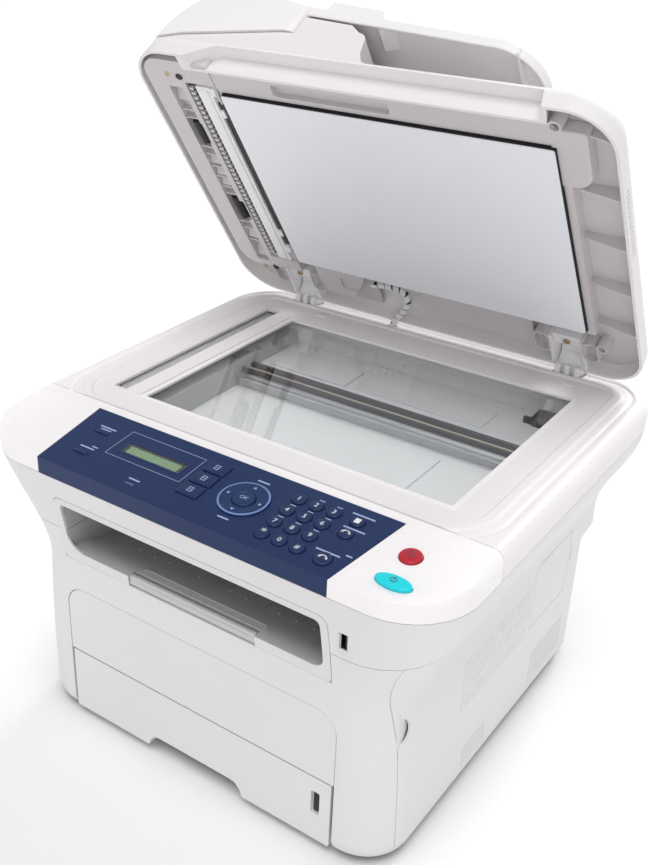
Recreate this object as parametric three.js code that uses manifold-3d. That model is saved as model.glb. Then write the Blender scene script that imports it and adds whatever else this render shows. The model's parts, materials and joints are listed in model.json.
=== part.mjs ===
// A desk-top laser multifunction printer: paper cassette, print engine, flatbed scanner, sloping
// console and a lid with a document feeder. The lid stands open at rest, as when a page is laid down.
// Millimetres. X runs to the right, Y to the back, Z up. The group's origin is under the middle of
// the whole machine, at the height of the surface that it stands on.
import * as THREE from "three";
import { mergeVertices } from "three/addons/utils/BufferGeometryUtils.js";
import Module from "manifold-3d";

const wasm = await Module();
wasm.setup();

// ---------------------------------------------------------------- driving dimensions
const WALL = 2.5; // moulded wall
const GAP = 0.4; // running gap between neighbours
const SEAM = 0.6; // visible parting line between covers

// Outer skin: a straight lower body that flares out to a wide deck
const BODY_HALF_WIDTH = 187;
const DECK_HALF_WIDTH = 225;
const BODY_FRONT_Y = -194;
const DECK_FRONT_Y = -211.5;
const BODY_REAR_Y = 170;
const UNIT_REAR_Y = 197;
const DECK_REAR_Y = 204;
const BASE_Z = 9; // underside of the covers
const BASE_TUCK = 3; // the covers turn in at the bottom
const BASE_ROUND = 8; // over this height
const STEP_RISE = 5;
const DECK_Z = 287; // top of the deck
const TRIM_Z = DECK_Z - 25; // deck's lower parting line
const UNIT_Z = DECK_Z - 82; // scanner unit's lower parting line
const FLARE_Z = UNIT_Z - 45; // the flare starts here
const STEP_Z = UNIT_Z - 67; // top of the set-back lower rear
const EDGE_ROUND = 12; // height of the deck's rounded edge
const EDGE_PULL = 9; // how far that edge turns in
const LOWER_CORNER = 42;
const DECK_CORNER = 57;
const REAR_CORNER = 18;
const DECK_REAR_CORNER = 48;

// Lower body
const SIDE_SEAM_Y = -168; // front cover meets the side covers
const REAR_PANEL_HALF = 150;
const FOOT_HEIGHT = 12;
const FOOT_RADIUS = 10;
const FOOT_X = BODY_HALF_WIDTH - 22;
const FOOT_FRONT_Y = -148;
const FOOT_REAR_Y = 142;
const CASSETTE_HALF = 138;
const CASSETTE_TOP = 73.4;
const CASSETTE_DEPTH = 296;
const CASSETTE_FRONT_WALL = 14;
const RECESS_HALF = 53;
const RECESS_HEIGHT = 13;
const DOOR_HALF = 140;
const DOOR_BOTTOM = CASSETTE_TOP + 1.2;
const DOOR_TOP = 143.4;
const DOOR_CORNER = 20;
const DOOR_THICK = 3.5;
const REAR_DOOR_HALF = 88;
const REAR_DOOR_X = 32;
const REAR_DOOR_BOTTOM = 34;
const REAR_DOOR_TOP = 128;
const CHASSIS_GAP = 4; // cassette in its bay
const CHASSIS_WALL = 3;
const LEVEL_WINDOW = { x0: 120, x1: 128, z0: 36, z1: 59.5, depth: 3 };
const ROLLER_HALF = 20; // pick-up roller's half length
const ROLLER_RADIUS = 7;
const ROLLER_Y = -116;

const INLET = { x: -122, z: 52, width: 28, height: 21, depth: 22 };
const SWITCH = { x: -122, z: 88, width: 20, height: 26 };
const SWITCH_DEPTH = 10;

// Output bin
const BIN_LEFT = -137;
const BIN_RIGHT = 134;
const WELL_FLOOR_Z = DECK_Z - 43.5; // scanner's floor, over the bin
const BIN_BOTTOM = UNIT_Z - 30;
const BIN_TOP = WELL_FLOOR_Z - WALL - 1;
const BIN_RIM = 7;
const BIN_DEPTH = 262;
const BIN_FLOOR_DROP = 12;
const FLAP_HALF = 64;
const FLAP_HEIGHT = 10;
const FLAP_PIVOT = 3; // radius of the flap's round lower edge
const FLAP_SINK = 1; // dip below the flap in the front cover

// Scanner
const GLASS_LEFT = -134;
const GLASS_RIGHT = 166;
const GLASS_FRONT = -90;
const GLASS_REAR = 133;
const GLASS_LAP = 3; // glass hidden under the frame on each side
const GLASS_THICK = 3;
const STRIP_LEFT = -171;
const STRIP_WIDTH = 15;
const CARRIAGE_WIDTH = 26;
const CARRIAGE_REST_X = -191;
const CARRIAGE_HEIGHT = 24;
const ROD_RADIUS = 4;
const ROD_Y = 41;
const ROD_Z = DECK_Z - 29;
const ROD_HALF = DECK_HALF_WIDTH - 18;

// Console
const CONSOLE_SEAM_Y = -122;
const CONSOLE_BACK_Y = -131;
const CONSOLE_BACK_Z = DECK_Z - 1;
const CONSOLE_SLOPE = 6.58 * Math.PI / 180;
const PANEL_THICK = 3;
const PANEL_BACK_HALF = 150.5;
const PANEL_FRONT_HALF = 138;
const KEY_GAP = 0.4;
const KEY_STAND = 1.5; // key above its panel
const KEY_BODY = 4.2; // key below its panel
const KEY_RADIUS = 5.8;
const KEYPAD_X = 85;
const KEYPAD_PITCH_X = 15.5;
const KEYPAD_PITCH_Y = 15.8;
const KEYPAD_Y = -17.2; // first row, along the slope from the console's back edge
const NAV_X = 34;
const NAV_Y = -38.8;
const NAV_RADIUS = 20.3;
const OK_RADIUS = 9;
const STOP_RADIUS = 8.5;
const MODE_PITCH = 16.6;
const SIDE_KEY_X = 120.6;

// Lid, in its closed place
const HINGE_Y = 195.3;
const HINGE_Z = DECK_Z + 21.5;
const LID_OPEN = 55.4 * Math.PI / 180;
const LID_LEFT = 1 - DECK_HALF_WIDTH;
const LID_RIGHT = DECK_HALF_WIDTH - 13.5;
const LID_FRONT = -124;
const LID_REAR = 202;
const LID_BOTTOM = DECK_Z + 2;
const LID_TOP = LID_BOTTOM + 24;
const LID_CORNER = 38;
const GRIP_LEFT = -168;
const GRIP_RIGHT = 163;
const GRIP_DEPTH = 14;
const PAD_LEFT = -137;
const PAD_RIGHT = 165;
const PAD_FRONT = -84;
const PAD_REAR = 137;
const PAD_THICK = 4;
const FEEDER_LEFT = LID_LEFT + 10;
const FEEDER_RIGHT = -79;
const FEEDER_FRONT = -116;
const FEEDER_REAR = 152;
const FEEDER_BASE_TOP = LID_TOP + 25;
const FEEDER_TOP = LID_TOP + 71;
const FEEDER_FALL = 18; // how far the feeder's base falls to the left
const GUSSET_Y = [-94, -38, 18, 74, 129];
const TRAY_RIGHT = 134;
const TRAY_REAR = 118;
const TRAY_LEFT_Z = LID_TOP + 55;
const TRAY_RIGHT_Z = LID_TOP + 40;
const TRAY_THICK = 9;
const TRAY_CORNER = 38;
const GUIDE_LENGTH = 60;
const LEFT_HINGE_X = -149;
const RIGHT_HINGE_X = 141;
const HINGE_WIDTH = 24;
const KNUCKLE = 7;
const POST_FRONT = 181; // hinge post's foot in the deck
const POST_REAR = 197;

// Lead that joins the scanner to the document feeder
const HARNESS_RADIUS = 3.8;
const HARNESS_ROUTE = [
  [-44.2, 180.5, 270],
  [-44.2, 180.5, 288],
  [-40, 180, 297],
  [-32, 179, 307],
  [-28, 178, 317],
  [-31, 177.5, 325],
  [-41, 176.5, 329],
  [-53, 174.5, 329.8],
  [-63.4, 171.5, 329.6],
];

// ---------------------------------------------------------------- solids
/** Turns a closed three.js geometry into a solid that can be joined and cut. */
function solid(geometry) {
  const bare = geometry.index ? geometry.toNonIndexed() : geometry.clone();
  bare.deleteAttribute("normal");
  bare.deleteAttribute("uv");
  const merged = mergeVertices(bare, 1e-4);
  return new wasm.Manifold(new wasm.Mesh({
    numProp: 3,
    vertProperties: merged.attributes.position.array,
    triVerts: new Uint32Array(merged.index.array),
  }));
}

/** Turns a solid back into a three.js geometry with flat faces. */
function geometryOf(made) {
  const mesh = made.getMesh();
  const geometry = new THREE.BufferGeometry();
  geometry.setAttribute("position", new THREE.BufferAttribute(mesh.vertProperties, 3));
  geometry.setIndex(new THREE.BufferAttribute(mesh.triVerts, 1));
  const flat = geometry.toNonIndexed();
  flat.computeVertexNormals();
  return flat;
}

const joined = (first, ...rest) => rest.reduce((sum, next) => sum.add(next), first);
const cut = (first, ...rest) => rest.reduce((left, next) => left.subtract(next), first);
const mix = (a, b, t) => a + (b - a) * t;

/** 0 below a, 1 above b, and a soft S between them. */
function ease(a, b, value) {
  const t = Math.min(1, Math.max(0, (value - a) / (b - a)));
  return t * t * (3 - 2 * t);
}

/** A box between two corners. */
function box(x0, x1, y0, y1, z0, z1) {
  const geometry = new THREE.BoxGeometry(x1 - x0, y1 - y0, z1 - z0);
  geometry.translate((x0 + x1) / 2, (y0 + y1) / 2, (z0 + z1) / 2);
  return solid(geometry);
}

/** A straight-sided outline through the given points. */
function polygon(points) {
  return new THREE.Shape(points.map(([a, b]) => new THREE.Vector2(a, b)));
}

/** A rectangle with rounded corners; corners run from the low-low one, anticlockwise. */
function roundedRectangle(a0, a1, b0, b1, corners) {
  const [r0, r1, r2, r3] = Array.isArray(corners) ? corners : Array(4).fill(corners);
  const shape = new THREE.Shape();
  shape.moveTo(a0 + r0, b0);
  shape.lineTo(a1 - r1, b0);
  if (r1) shape.absarc(a1 - r1, b0 + r1, r1, -Math.PI / 2, 0);
  shape.lineTo(a1, b1 - r2);
  if (r2) shape.absarc(a1 - r2, b1 - r2, r2, 0, Math.PI / 2);
  shape.lineTo(a0 + r3, b1);
  if (r3) shape.absarc(a0 + r3, b1 - r3, r3, Math.PI / 2, Math.PI);
  shape.lineTo(a0, b0 + r0);
  if (r0) shape.absarc(a0 + r0, b0 + r0, r0, Math.PI, Math.PI * 1.5);
  return shape;
}

/** Extrudes an outline drawn in X and Y from z0 up to z1. */
function slabZ(shape, z0, z1, curveSegments = 5) {
  const geometry = new THREE.ExtrudeGeometry(shape, {
    depth: z1 - z0, bevelEnabled: false, curveSegments,
  });
  geometry.translate(0, 0, z0);
  return solid(geometry);
}

/** Extrudes an outline drawn in X and Z from y0 back to y1. */
function slabY(shape, y0, y1, curveSegments = 5) {
  const geometry = new THREE.ExtrudeGeometry(shape, {
    depth: y1 - y0, bevelEnabled: false, curveSegments,
  });
  geometry.rotateX(Math.PI / 2);
  geometry.translate(0, y1, 0);
  return solid(geometry);
}

/** Extrudes an outline drawn in Y and Z from x0 to x1. */
function slabX(shape, x0, x1, curveSegments = 5) {
  const geometry = new THREE.ExtrudeGeometry(shape, {
    depth: x1 - x0, bevelEnabled: false, curveSegments,
  });
  const turn = new THREE.Matrix4().makeBasis(
    new THREE.Vector3(0, 1, 0), new THREE.Vector3(0, 0, 1), new THREE.Vector3(1, 0, 0),
  );
  geometry.applyMatrix4(turn);
  geometry.translate(x0, 0, 0);
  return solid(geometry);
}

/** A round bar along Z. */
function barZ(x, y, radius, z0, z1, sides = 16) {
  const geometry = new THREE.CylinderGeometry(radius, radius, z1 - z0, sides);
  geometry.rotateX(Math.PI / 2);
  geometry.translate(x, y, (z0 + z1) / 2);
  return solid(geometry);
}

/** A round bar along X. */
function barX(y, z, radius, x0, x1, sides = 16) {
  const geometry = new THREE.CylinderGeometry(radius, radius, x1 - x0, sides);
  geometry.rotateZ(-Math.PI / 2);
  geometry.translate((x0 + x1) / 2, y, z);
  return solid(geometry);
}

/** One level of a loft: a rectangle whose front and rear corners are rounded. */
function outline(level) {
  const { left, right, front, rear, frontRadius, rearRadius, z } = level;
  const corners = [
    [left + frontRadius, front + frontRadius, frontRadius, Math.PI],
    [right - frontRadius, front + frontRadius, frontRadius, Math.PI * 1.5],
    [right - rearRadius, rear - rearRadius, rearRadius, 0],
    [left + rearRadius, rear - rearRadius, rearRadius, Math.PI / 2],
  ];
  const steps = 5;
  return corners.flatMap(([x, y, r, start]) => Array.from({ length: steps + 1 }, (_, i) => {
    const angle = start + (i / steps) * Math.PI / 2;
    return [x + r * Math.cos(angle), y + r * Math.sin(angle), z];
  }));
}

/** A closed solid through a stack of levels, lowest first. */
function loft(levels) {
  const rings = levels.map(outline);
  const count = rings[0].length;
  const positions = rings.flat(2);
  const index = [];
  for (let k = 0; k + 1 < rings.length; k++) {
    for (let i = 0; i < count; i++) {
      const a = k * count + i;
      const b = k * count + (i + 1) % count;
      index.push(a, b, b + count, a, b + count, a + count);
    }
  }
  const top = (rings.length - 1) * count;
  for (let i = 1; i + 1 < count; i++) {
    index.push(0, i + 1, i);
    index.push(top, top + i, top + i + 1);
  }
  const geometry = new THREE.BufferGeometry();
  geometry.setAttribute("position", new THREE.Float32BufferAttribute(positions, 3));
  geometry.setIndex(index);
  return solid(geometry);
}

// ---------------------------------------------------------------- outer skin
/** Half width of the body at a height: straight, then an S-shaped flare to the deck. */
const halfWidthAt = (z) => mix(BODY_HALF_WIDTH, DECK_HALF_WIDTH - 1, ease(FLARE_Z, TRIM_Z + 4, z));

/** Front face at a height: it leans forward more and more towards the deck. */
function frontAt(z) {
  const t = Math.min(1, Math.max(0, (z - FLARE_Z) / (TRIM_Z - FLARE_Z)));
  return mix(BODY_FRONT_Y, DECK_FRONT_Y, t ** 1.5);
}

/** Rear face at a height: set back below the step. */
function rearAt(z) {
  const above = mix(UNIT_REAR_Y, DECK_REAR_Y, ease(STEP_Z, TRIM_Z, z));
  return z <= STEP_Z ? BODY_REAR_Y : mix(BODY_REAR_Y, above, Math.min(1, (z - STEP_Z) / STEP_RISE));
}

/** The skin's level at a height, moved inwards by an inset. */
function skin(z, inset = 0, shift = 0) {
  const source = z - shift;
  const rise = Math.max(0, 1 - (DECK_Z - source) / EDGE_ROUND);
  const edge = EDGE_PULL * (1 - Math.sqrt(1 - rise ** 2));
  const half = halfWidthAt(source) - edge - inset;
  const frontRadius = mix(LOWER_CORNER, DECK_CORNER, ease(60, TRIM_Z, source)) - inset;
  const rearRadius = mix(REAR_CORNER, DECK_REAR_CORNER, ease(STEP_Z, TRIM_Z, source)) - inset;
  return {
    left: -half, right: half, z, frontRadius, rearRadius,
    front: frontAt(source) + edge * 0.3 + inset, rear: rearAt(source) - edge - inset,
  };
}

const LOWER_LEVELS = [60, STEP_Z, STEP_Z + STEP_RISE, FLARE_Z, 175, 190];
const lowerOuter = loft([
  skin(BASE_Z, BASE_TUCK), skin(BASE_Z + BASE_ROUND), ...LOWER_LEVELS.map((z) => skin(z)),
  skin(UNIT_Z - SEAM / 2),
]);
const lowerInner = loft([
  skin(BASE_Z - 1, WALL + BASE_TUCK), skin(BASE_Z + BASE_ROUND, WALL),
  ...LOWER_LEVELS.map((z) => skin(z + WALL, WALL, WALL)), skin(UNIT_Z + WALL, WALL, WALL),
]);
const lowerShell = cut(lowerOuter, lowerInner);
const FAR = 400; // past every face

// ---------------------------------------------------------------- lower body
/** Hat-shaped chassis over the cassette, with four moulded feet. */
function chassis() {
  const half = BODY_HALF_WIDTH - WALL - 5;
  const slot = CASSETTE_HALF + CHASSIS_GAP;
  const roof = CASSETTE_TOP + CHASSIS_GAP;
  const outerSlot = slot + CHASSIS_WALL;
  const sole = BASE_Z + 2;
  const front = SIDE_SEAM_Y + 6;
  const rear = BODY_REAR_Y - SWITCH_DEPTH - 3;
  const hat = slabY(polygon([
    [-half, sole], [-slot, sole], [-slot, roof], [slot, roof], [slot, sole],
    [half, sole], [half, sole + CHASSIS_WALL], [outerSlot, sole + CHASSIS_WALL],
    [outerSlot, roof + CHASSIS_WALL], [-outerSlot, roof + CHASSIS_WALL],
    [-outerSlot, sole + CHASSIS_WALL], [-half, sole + CHASSIS_WALL],
  ]), front, rear);
  const feet = [-FOOT_X, FOOT_X].flatMap((x) => [FOOT_FRONT_Y, FOOT_REAR_Y].map(
    (y) => barZ(x, y, FOOT_RADIUS, 0, FOOT_HEIGHT, 14),
  ));
  const bay = box(-2 * ROLLER_HALF - 4, 2 * ROLLER_HALF + 4, ROLLER_Y - ROLLER_RADIUS - 5,
    ROLLER_Y + ROLLER_RADIUS + 5, roof - 1, roof + CHASSIS_WALL + 1);
  return cut(joined(hat, ...feet), bay);
}

/** Front cover: two legs beside the cassette and a bar between the door and the bin. */
function frontCover() {
  const shell = lowerShell.intersect(box(-FAR, FAR, -FAR, SIDE_SEAM_Y - SEAM / 2, 0, FAR));
  const mouth = slabY(roundedRectangle(
    -DOOR_HALF - SEAM, DOOR_HALF + SEAM, -5, DOOR_TOP + SEAM, [0, 0, DOOR_CORNER, DOOR_CORNER],
  ), -FAR, SIDE_SEAM_Y + 1);
  const bin = box(BIN_LEFT - GAP, BIN_RIGHT + GAP, -FAR, 0, BIN_BOTTOM - GAP, FAR);
  const swing = box(-FLAP_HALF - GAP, FLAP_HALF + GAP, -FAR, 0, BIN_BOTTOM - FLAP_SINK, FAR);
  return cut(shell, mouth, bin, swing);
}

/** One side cover, with its rear corner: side is -1 on the left and 1 on the right. */
function sideCover(side) {
  const reach = side < 0
    ? box(-FAR, 0, SIDE_SEAM_Y + SEAM / 2, FAR, 0, FAR)
    : box(0, FAR, SIDE_SEAM_Y + SEAM / 2, FAR, 0, FAR);
  const panel = box(-REAR_PANEL_HALF, REAR_PANEL_HALF, 100, FAR, 0, FAR);
  return cut(lowerShell.intersect(reach), panel);
}

/** Rear cover between the side covers, open for the rear door, the inlet and the switch. */
function rearCover() {
  const half = REAR_PANEL_HALF - SEAM;
  const panel = lowerShell.intersect(box(-half, half, 100, FAR, 0, FAR));
  const door = box(
    REAR_DOOR_X - REAR_DOOR_HALF - SEAM, REAR_DOOR_X + REAR_DOOR_HALF + SEAM, 100, FAR,
    REAR_DOOR_BOTTOM - SEAM, REAR_DOOR_TOP + SEAM,
  );
  const inlet = box(
    INLET.x - INLET.width / 2 - GAP, INLET.x + INLET.width / 2 + GAP, 100, FAR,
    INLET.z - INLET.height / 2 - GAP, INLET.z + INLET.height / 2 + GAP,
  );
  const rocker = box(
    SWITCH.x - SWITCH.width / 2 - GAP, SWITCH.x + SWITCH.width / 2 + GAP, 100, FAR,
    SWITCH.z - SWITCH.height / 2 - GAP, SWITCH.z + SWITCH.height / 2 + GAP,
  );
  return cut(panel, door, inlet, rocker);
}

/** Door in the rear cover, hinged along its lower edge. */
function rearDoor() {
  const x0 = REAR_DOOR_X - REAR_DOOR_HALF;
  const x1 = REAR_DOOR_X + REAR_DOOR_HALF;
  const leaf = box(x0, x1, BODY_REAR_Y - WALL, BODY_REAR_Y, REAR_DOOR_BOTTOM, REAR_DOOR_TOP);
  const frameDepth = 8;
  const frame = (inset, depth) => box(x0 + 8 + inset, x1 - 8 - inset, BODY_REAR_Y - depth,
    BODY_REAR_Y - WALL, REAR_DOOR_BOTTOM + 20 + inset, REAR_DOOR_TOP - 12 - inset);
  return joined(leaf, cut(frame(0, frameDepth), frame(2, frameDepth + 1)));
}

/** Mains inlet: an open box with a solid back. */
function powerInlet() {
  const { x, z, width, height, depth } = INLET;
  const body = box(x - width / 2, x + width / 2, BODY_REAR_Y - depth, BODY_REAR_Y - 0.5,
    z - height / 2, z + height / 2);
  const mouth = box(x - width / 2 + 2, x + width / 2 - 2, BODY_REAR_Y - depth + 3, BODY_REAR_Y + 1,
    z - height / 2 + 2, z + height / 2 - 2);
  return cut(body, mouth);
}

/** Power switch: a rocker whose face is a shallow V about its pivot. */
function powerSwitch() {
  const { x, z, width, height } = SWITCH;
  const y = BODY_REAR_Y - 1;
  const face = polygon([
    [y - 7, z - height / 2 + 3.4], [y - 1.5, z - height / 2 + 1], [y - 0.8, z],
    [y + 2, z + height / 2 - 1.6], [y - 7, z + height / 2 - 3.4], [y - SWITCH_DEPTH + 1, z],
  ]);
  return slabX(face, x - width / 2 + 1, x + width / 2 - 1);
}

/** Manual feed door: a rounded leaf hinged along its lower edge. */
function manualFeedDoor() {
  return slabY(roundedRectangle(
    -DOOR_HALF, DOOR_HALF, DOOR_BOTTOM, DOOR_TOP, [0, 0, DOOR_CORNER, DOOR_CORNER],
  ), BODY_FRONT_Y, BODY_FRONT_Y + DOOR_THICK);
}

/** Paper cassette: an open tray with a thick front that holds the hand recess and level window. */
function paperCassette() {
  const half = CASSETTE_HALF;
  const rear = BODY_FRONT_Y + CASSETTE_DEPTH;
  const inner = BODY_FRONT_Y + CASSETTE_FRONT_WALL;
  const front = slabY(polygon([
    [-half, BASE_Z], [half, BASE_Z], [half, CASSETTE_TOP], [-half, CASSETTE_TOP],
  ]), BODY_FRONT_Y, inner);
  const tray = box(-half + 4, half - 4, inner - 1, rear, BASE_Z + 2, CASSETTE_TOP - 13);
  const paper = box(-half + 4 + WALL, half - 4 - WALL, inner, rear - WALL, BASE_Z + 2 + WALL, 90);
  const hand = slabY(polygon([
    [-RECESS_HALF, BASE_Z - 3], [RECESS_HALF, BASE_Z - 3],
    [RECESS_HALF - 8, BASE_Z + RECESS_HEIGHT], [-RECESS_HALF + 8, BASE_Z + RECESS_HEIGHT],
  ]), BODY_FRONT_Y - 2, inner - WALL);
  const { x0, x1, z0, z1, depth } = LEVEL_WINDOW;
  const level = box(x0, x1, BODY_FRONT_Y - 2, BODY_FRONT_Y + depth, z0, z1);
  return cut(joined(front, tray), paper, hand, level);
}

/** Pick-up roller over the cassette. */
const pickupRoller = () => barX(
  ROLLER_Y, CASSETTE_TOP - 3.4, ROLLER_RADIUS, -ROLLER_HALF, ROLLER_HALF, 14,
);

/** Toner and drum cartridge: a hopper with the drum's round nose. */
function tonerCartridge() {
  const hopper = slabX(polygon([
    [-150, 104], [-96, 92], [-60, 92], [-60, 128], [-96, 142], [-150, 142],
  ]), -122, 122);
  return joined(hopper, barX(-58, 110, 18, -126, 126, 16));
}

/** Fuser unit at the back of the paper path. */
const fuserUnit = () => slabX(polygon([
  [96, 92], [146, 92], [150, 112], [140, 134], [102, 134], [94, 112],
]), -120, 120);

// ---------------------------------------------------------------- output bin
/** Floor line of the bin, from behind the front lip, down and up the curved back. */
function binFloor(offset) {
  const lip = BIN_BOTTOM + FLAP_HEIGHT;
  const rear = BODY_FRONT_Y + BIN_DEPTH - WALL;
  return [
    [BODY_FRONT_Y + 70, lip - BIN_FLOOR_DROP * 0.8 - offset],
    [rear - 90, lip - BIN_FLOOR_DROP - offset],
    [rear - 40, lip - BIN_FLOOR_DROP + 4 - offset],
    [rear - 12 + offset, lip + 10 - offset],
    [rear + offset, UNIT_Z - 6],
  ];
}

/** The bin below the scanner unit: front lip, floor, back and side walls in one moulding. */
function outputBin() {
  const top = UNIT_Z - SEAM / 2;
  const lip = BIN_BOTTOM + FLAP_HEIGHT;
  const rear = BODY_FRONT_Y + BIN_DEPTH;
  const outside = slabX(polygon([
    [-FAR, BIN_BOTTOM], [BODY_FRONT_Y + 12, BIN_BOTTOM], ...binFloor(WALL), [rear, top], [-FAR, top],
  ]), BIN_LEFT + BIN_RIM - WALL, BIN_RIGHT - BIN_RIM + WALL);
  const ends = [[BIN_LEFT, BIN_LEFT + BIN_RIM], [BIN_RIGHT - BIN_RIM, BIN_RIGHT]].map(
    ([x0, x1]) => box(x0, x1, -FAR, BODY_FRONT_Y + 8, BIN_BOTTOM, top),
  );
  const room = slabX(polygon([
    [-FAR, lip], [BODY_FRONT_Y + 8, lip], ...binFloor(0), [rear - WALL, FAR], [-FAR, FAR],
  ]), BIN_LEFT + BIN_RIM, BIN_RIGHT - BIN_RIM);
  const pocket = box(-FLAP_HALF - GAP, FLAP_HALF + GAP, -FAR, frontAt(BIN_BOTTOM) + 2 * FLAP_PIVOT + 1.2,
    BIN_BOTTOM - 1, FAR);
  return cut(joined(outside, ...ends).intersect(lowerOuter), room, pocket);
}

/** Stop flap in the bin's front lip, hinged about its round lower edge. */
function binFlap() {
  const front = frontAt(BIN_BOTTOM) + 0.5;
  const pivotZ = BIN_BOTTOM + FLAP_PIVOT - 0.4;
  const leaf = box(-FLAP_HALF, FLAP_HALF, front, front + 2 * FLAP_PIVOT - 2, pivotZ,
    BIN_BOTTOM + FLAP_HEIGHT);
  return leaf.add(barX(front + FLAP_PIVOT, pivotZ, FLAP_PIVOT, -FLAP_HALF, FLAP_HALF, 20));
}

/** The bin's upper half, under the scanner unit: front rim, side walls and ceiling. */
function binHood() {
  const z0 = UNIT_Z + SEAM / 2;
  const rear = BODY_FRONT_Y + BIN_DEPTH;
  const mouth = (inset) => roundedRectangle(
    BIN_LEFT + inset, BIN_RIGHT - inset, z0 - (inset ? 5 : 0), BIN_TOP - inset, [0, 0, 8, 8],
  );
  const rim = slabY(mouth(0), -FAR, BODY_FRONT_Y + 8, 3);
  const walls = slabY(mouth(BIN_RIM - WALL), BODY_FRONT_Y + 7, rear, 3).intersect(
    box(-FAR, FAR, -FAR, FAR, z0, FAR),
  );
  const room = slabY(mouth(BIN_RIM), -FAR, rear - WALL, 3);
  return cut(joined(rim, walls), room).intersect(unitOuter);
}

// ---------------------------------------------------------------- scanner unit
const UNIT_LEVELS = [0.26, 0.53, 0.79].map((t) => mix(UNIT_Z, TRIM_Z, t));
const unitOuter = loft([
  skin(UNIT_Z + SEAM / 2), ...UNIT_LEVELS.map((z) => skin(z)), skin(TRIM_Z - SEAM / 2),
]);
const unitInner = loft([
  skin(UNIT_Z - 1, WALL), ...UNIT_LEVELS.map((z) => skin(z, WALL)), skin(TRIM_Z + 1, WALL),
]);
const USB = { x: 147, z: UNIT_Z + 18.5, width: 7, height: 15, depth: 14 };

/** Scanner housing: a flared shell with the scanner's floor and rod posts inside. */
function scannerHousing() {
  const floor = loft([skin(WELL_FLOOR_Z - WALL, WALL / 2), skin(WELL_FLOOR_Z, WALL / 2)]);
  const postHalf = 2 * ROD_RADIUS;
  const posts = [-1, 1].map((side) => {
    const near = side * (ROD_HALF + GAP);
    const far = side * (ROD_HALF + 6);
    return box(Math.min(near, far), Math.max(near, far), ROD_Y - postHalf, ROD_Y + postHalf,
      WELL_FLOOR_Z - 1, ROD_Z + ROD_RADIUS + 1).intersect(unitOuter);
  });
  const mouth = slabY(roundedRectangle(
    BIN_LEFT - GAP, BIN_RIGHT + GAP, UNIT_Z - 5, BIN_TOP + GAP, [0, 0, 8, 8],
  ), -FAR, 0, 3);
  const port = box(USB.x - USB.width / 2 - GAP, USB.x + USB.width / 2 + GAP, -FAR, -180,
    USB.z - USB.height / 2 - GAP, USB.z + USB.height / 2 + GAP);
  return cut(joined(cut(unitOuter, unitInner), floor, ...posts), mouth, port);
}

/** Socket for a memory stick: a shell that is open to the front. */
function usbPort() {
  const front = frontAt(USB.z) + 0.6;
  const body = box(USB.x - USB.width / 2, USB.x + USB.width / 2, front, front + USB.depth,
    USB.z - USB.height / 2, USB.z + USB.height / 2);
  const mouth = box(USB.x - USB.width / 2 + 1, USB.x + USB.width / 2 - 1, front - 1,
    front + USB.depth - 1, USB.z - USB.height / 2 + 1, USB.z + USB.height / 2 - 1);
  return cut(body, mouth);
}

const DECK_LEVELS = [1, 0.67, 0.33, 0.125].map((t) => DECK_Z - EDGE_ROUND * t);
const deckOuter = loft([
  skin(TRIM_Z + SEAM / 2), ...DECK_LEVELS.map((z) => skin(z)), skin(DECK_Z),
]);
const deckInner = loft([
  skin(TRIM_Z - 1, WALL), skin(DECK_LEVELS[0], WALL), skin(DECK_LEVELS[1], WALL + 1),
  skin(DECK_Z - WALL, WALL + 4, -WALL),
]);

/** Deck round the glass, with slots for the hinges and a hole for the feeder's lead. */
function scannerBezel() {
  const shell = cut(deckOuter, deckInner).intersect(
    box(-FAR, FAR, CONSOLE_SEAM_Y + SEAM / 2, FAR, 0, FAR),
  );
  const z0 = TRIM_Z + 8;
  const z1 = DECK_Z + 5;
  const window = box(GLASS_LEFT, GLASS_RIGHT, GLASS_FRONT, GLASS_REAR, z0, z1);
  const strip = box(STRIP_LEFT, STRIP_LEFT + STRIP_WIDTH, GLASS_FRONT, GLASS_REAR + 8, z0, z1);
  const slots = [LEFT_HINGE_X, RIGHT_HINGE_X].map((x) => box(
    x - HINGE_WIDTH / 2 - 2, x + HINGE_WIDTH / 2 + 2, POST_FRONT - 5, POST_REAR + 2.6, z0, z1,
  ));
  const [leadX, leadY] = HARNESS_ROUTE[0];
  const leadHole = barZ(leadX, leadY, HARNESS_RADIUS + 1.5, z0, z1, 12);
  return cut(shell, window, strip, ...slots, leadHole);
}

/** A pane under the deck, with its lap hidden on every side. */
function pane(x0, x1, y0, y1) {
  const top = DECK_Z - WALL - 0.3;
  return box(x0 - GLASS_LAP, x1 + GLASS_LAP, y0 - GLASS_LAP, y1 + GLASS_LAP, top - GLASS_THICK, top);
}

/** Scanning carriage across the glass, bored for its guide rod. */
function scanCarriage() {
  const x0 = CARRIAGE_REST_X - CARRIAGE_WIDTH / 2;
  const z1 = DECK_Z - WALL - GLASS_THICK - 2;
  const body = box(x0, x0 + CARRIAGE_WIDTH, GLASS_FRONT + 4, GLASS_REAR - 4,
    z1 - CARRIAGE_HEIGHT, z1);
  return cut(body, barX(ROD_Y, ROD_Z, ROD_RADIUS + GAP, -FAR, FAR, 12));
}

// ---------------------------------------------------------------- console
/** Cuts everything above the console's slope away. */
const aboveSlope = slabX(polygon([
  [-FAR, CONSOLE_BACK_Z - Math.tan(CONSOLE_SLOPE) * (FAR + CONSOLE_BACK_Y)],
  [CONSOLE_BACK_Y, CONSOLE_BACK_Z], [CONSOLE_SEAM_Y + 5, DECK_Z], [CONSOLE_SEAM_Y + 5, FAR],
  [-FAR, FAR],
]), -FAR, FAR);

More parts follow.
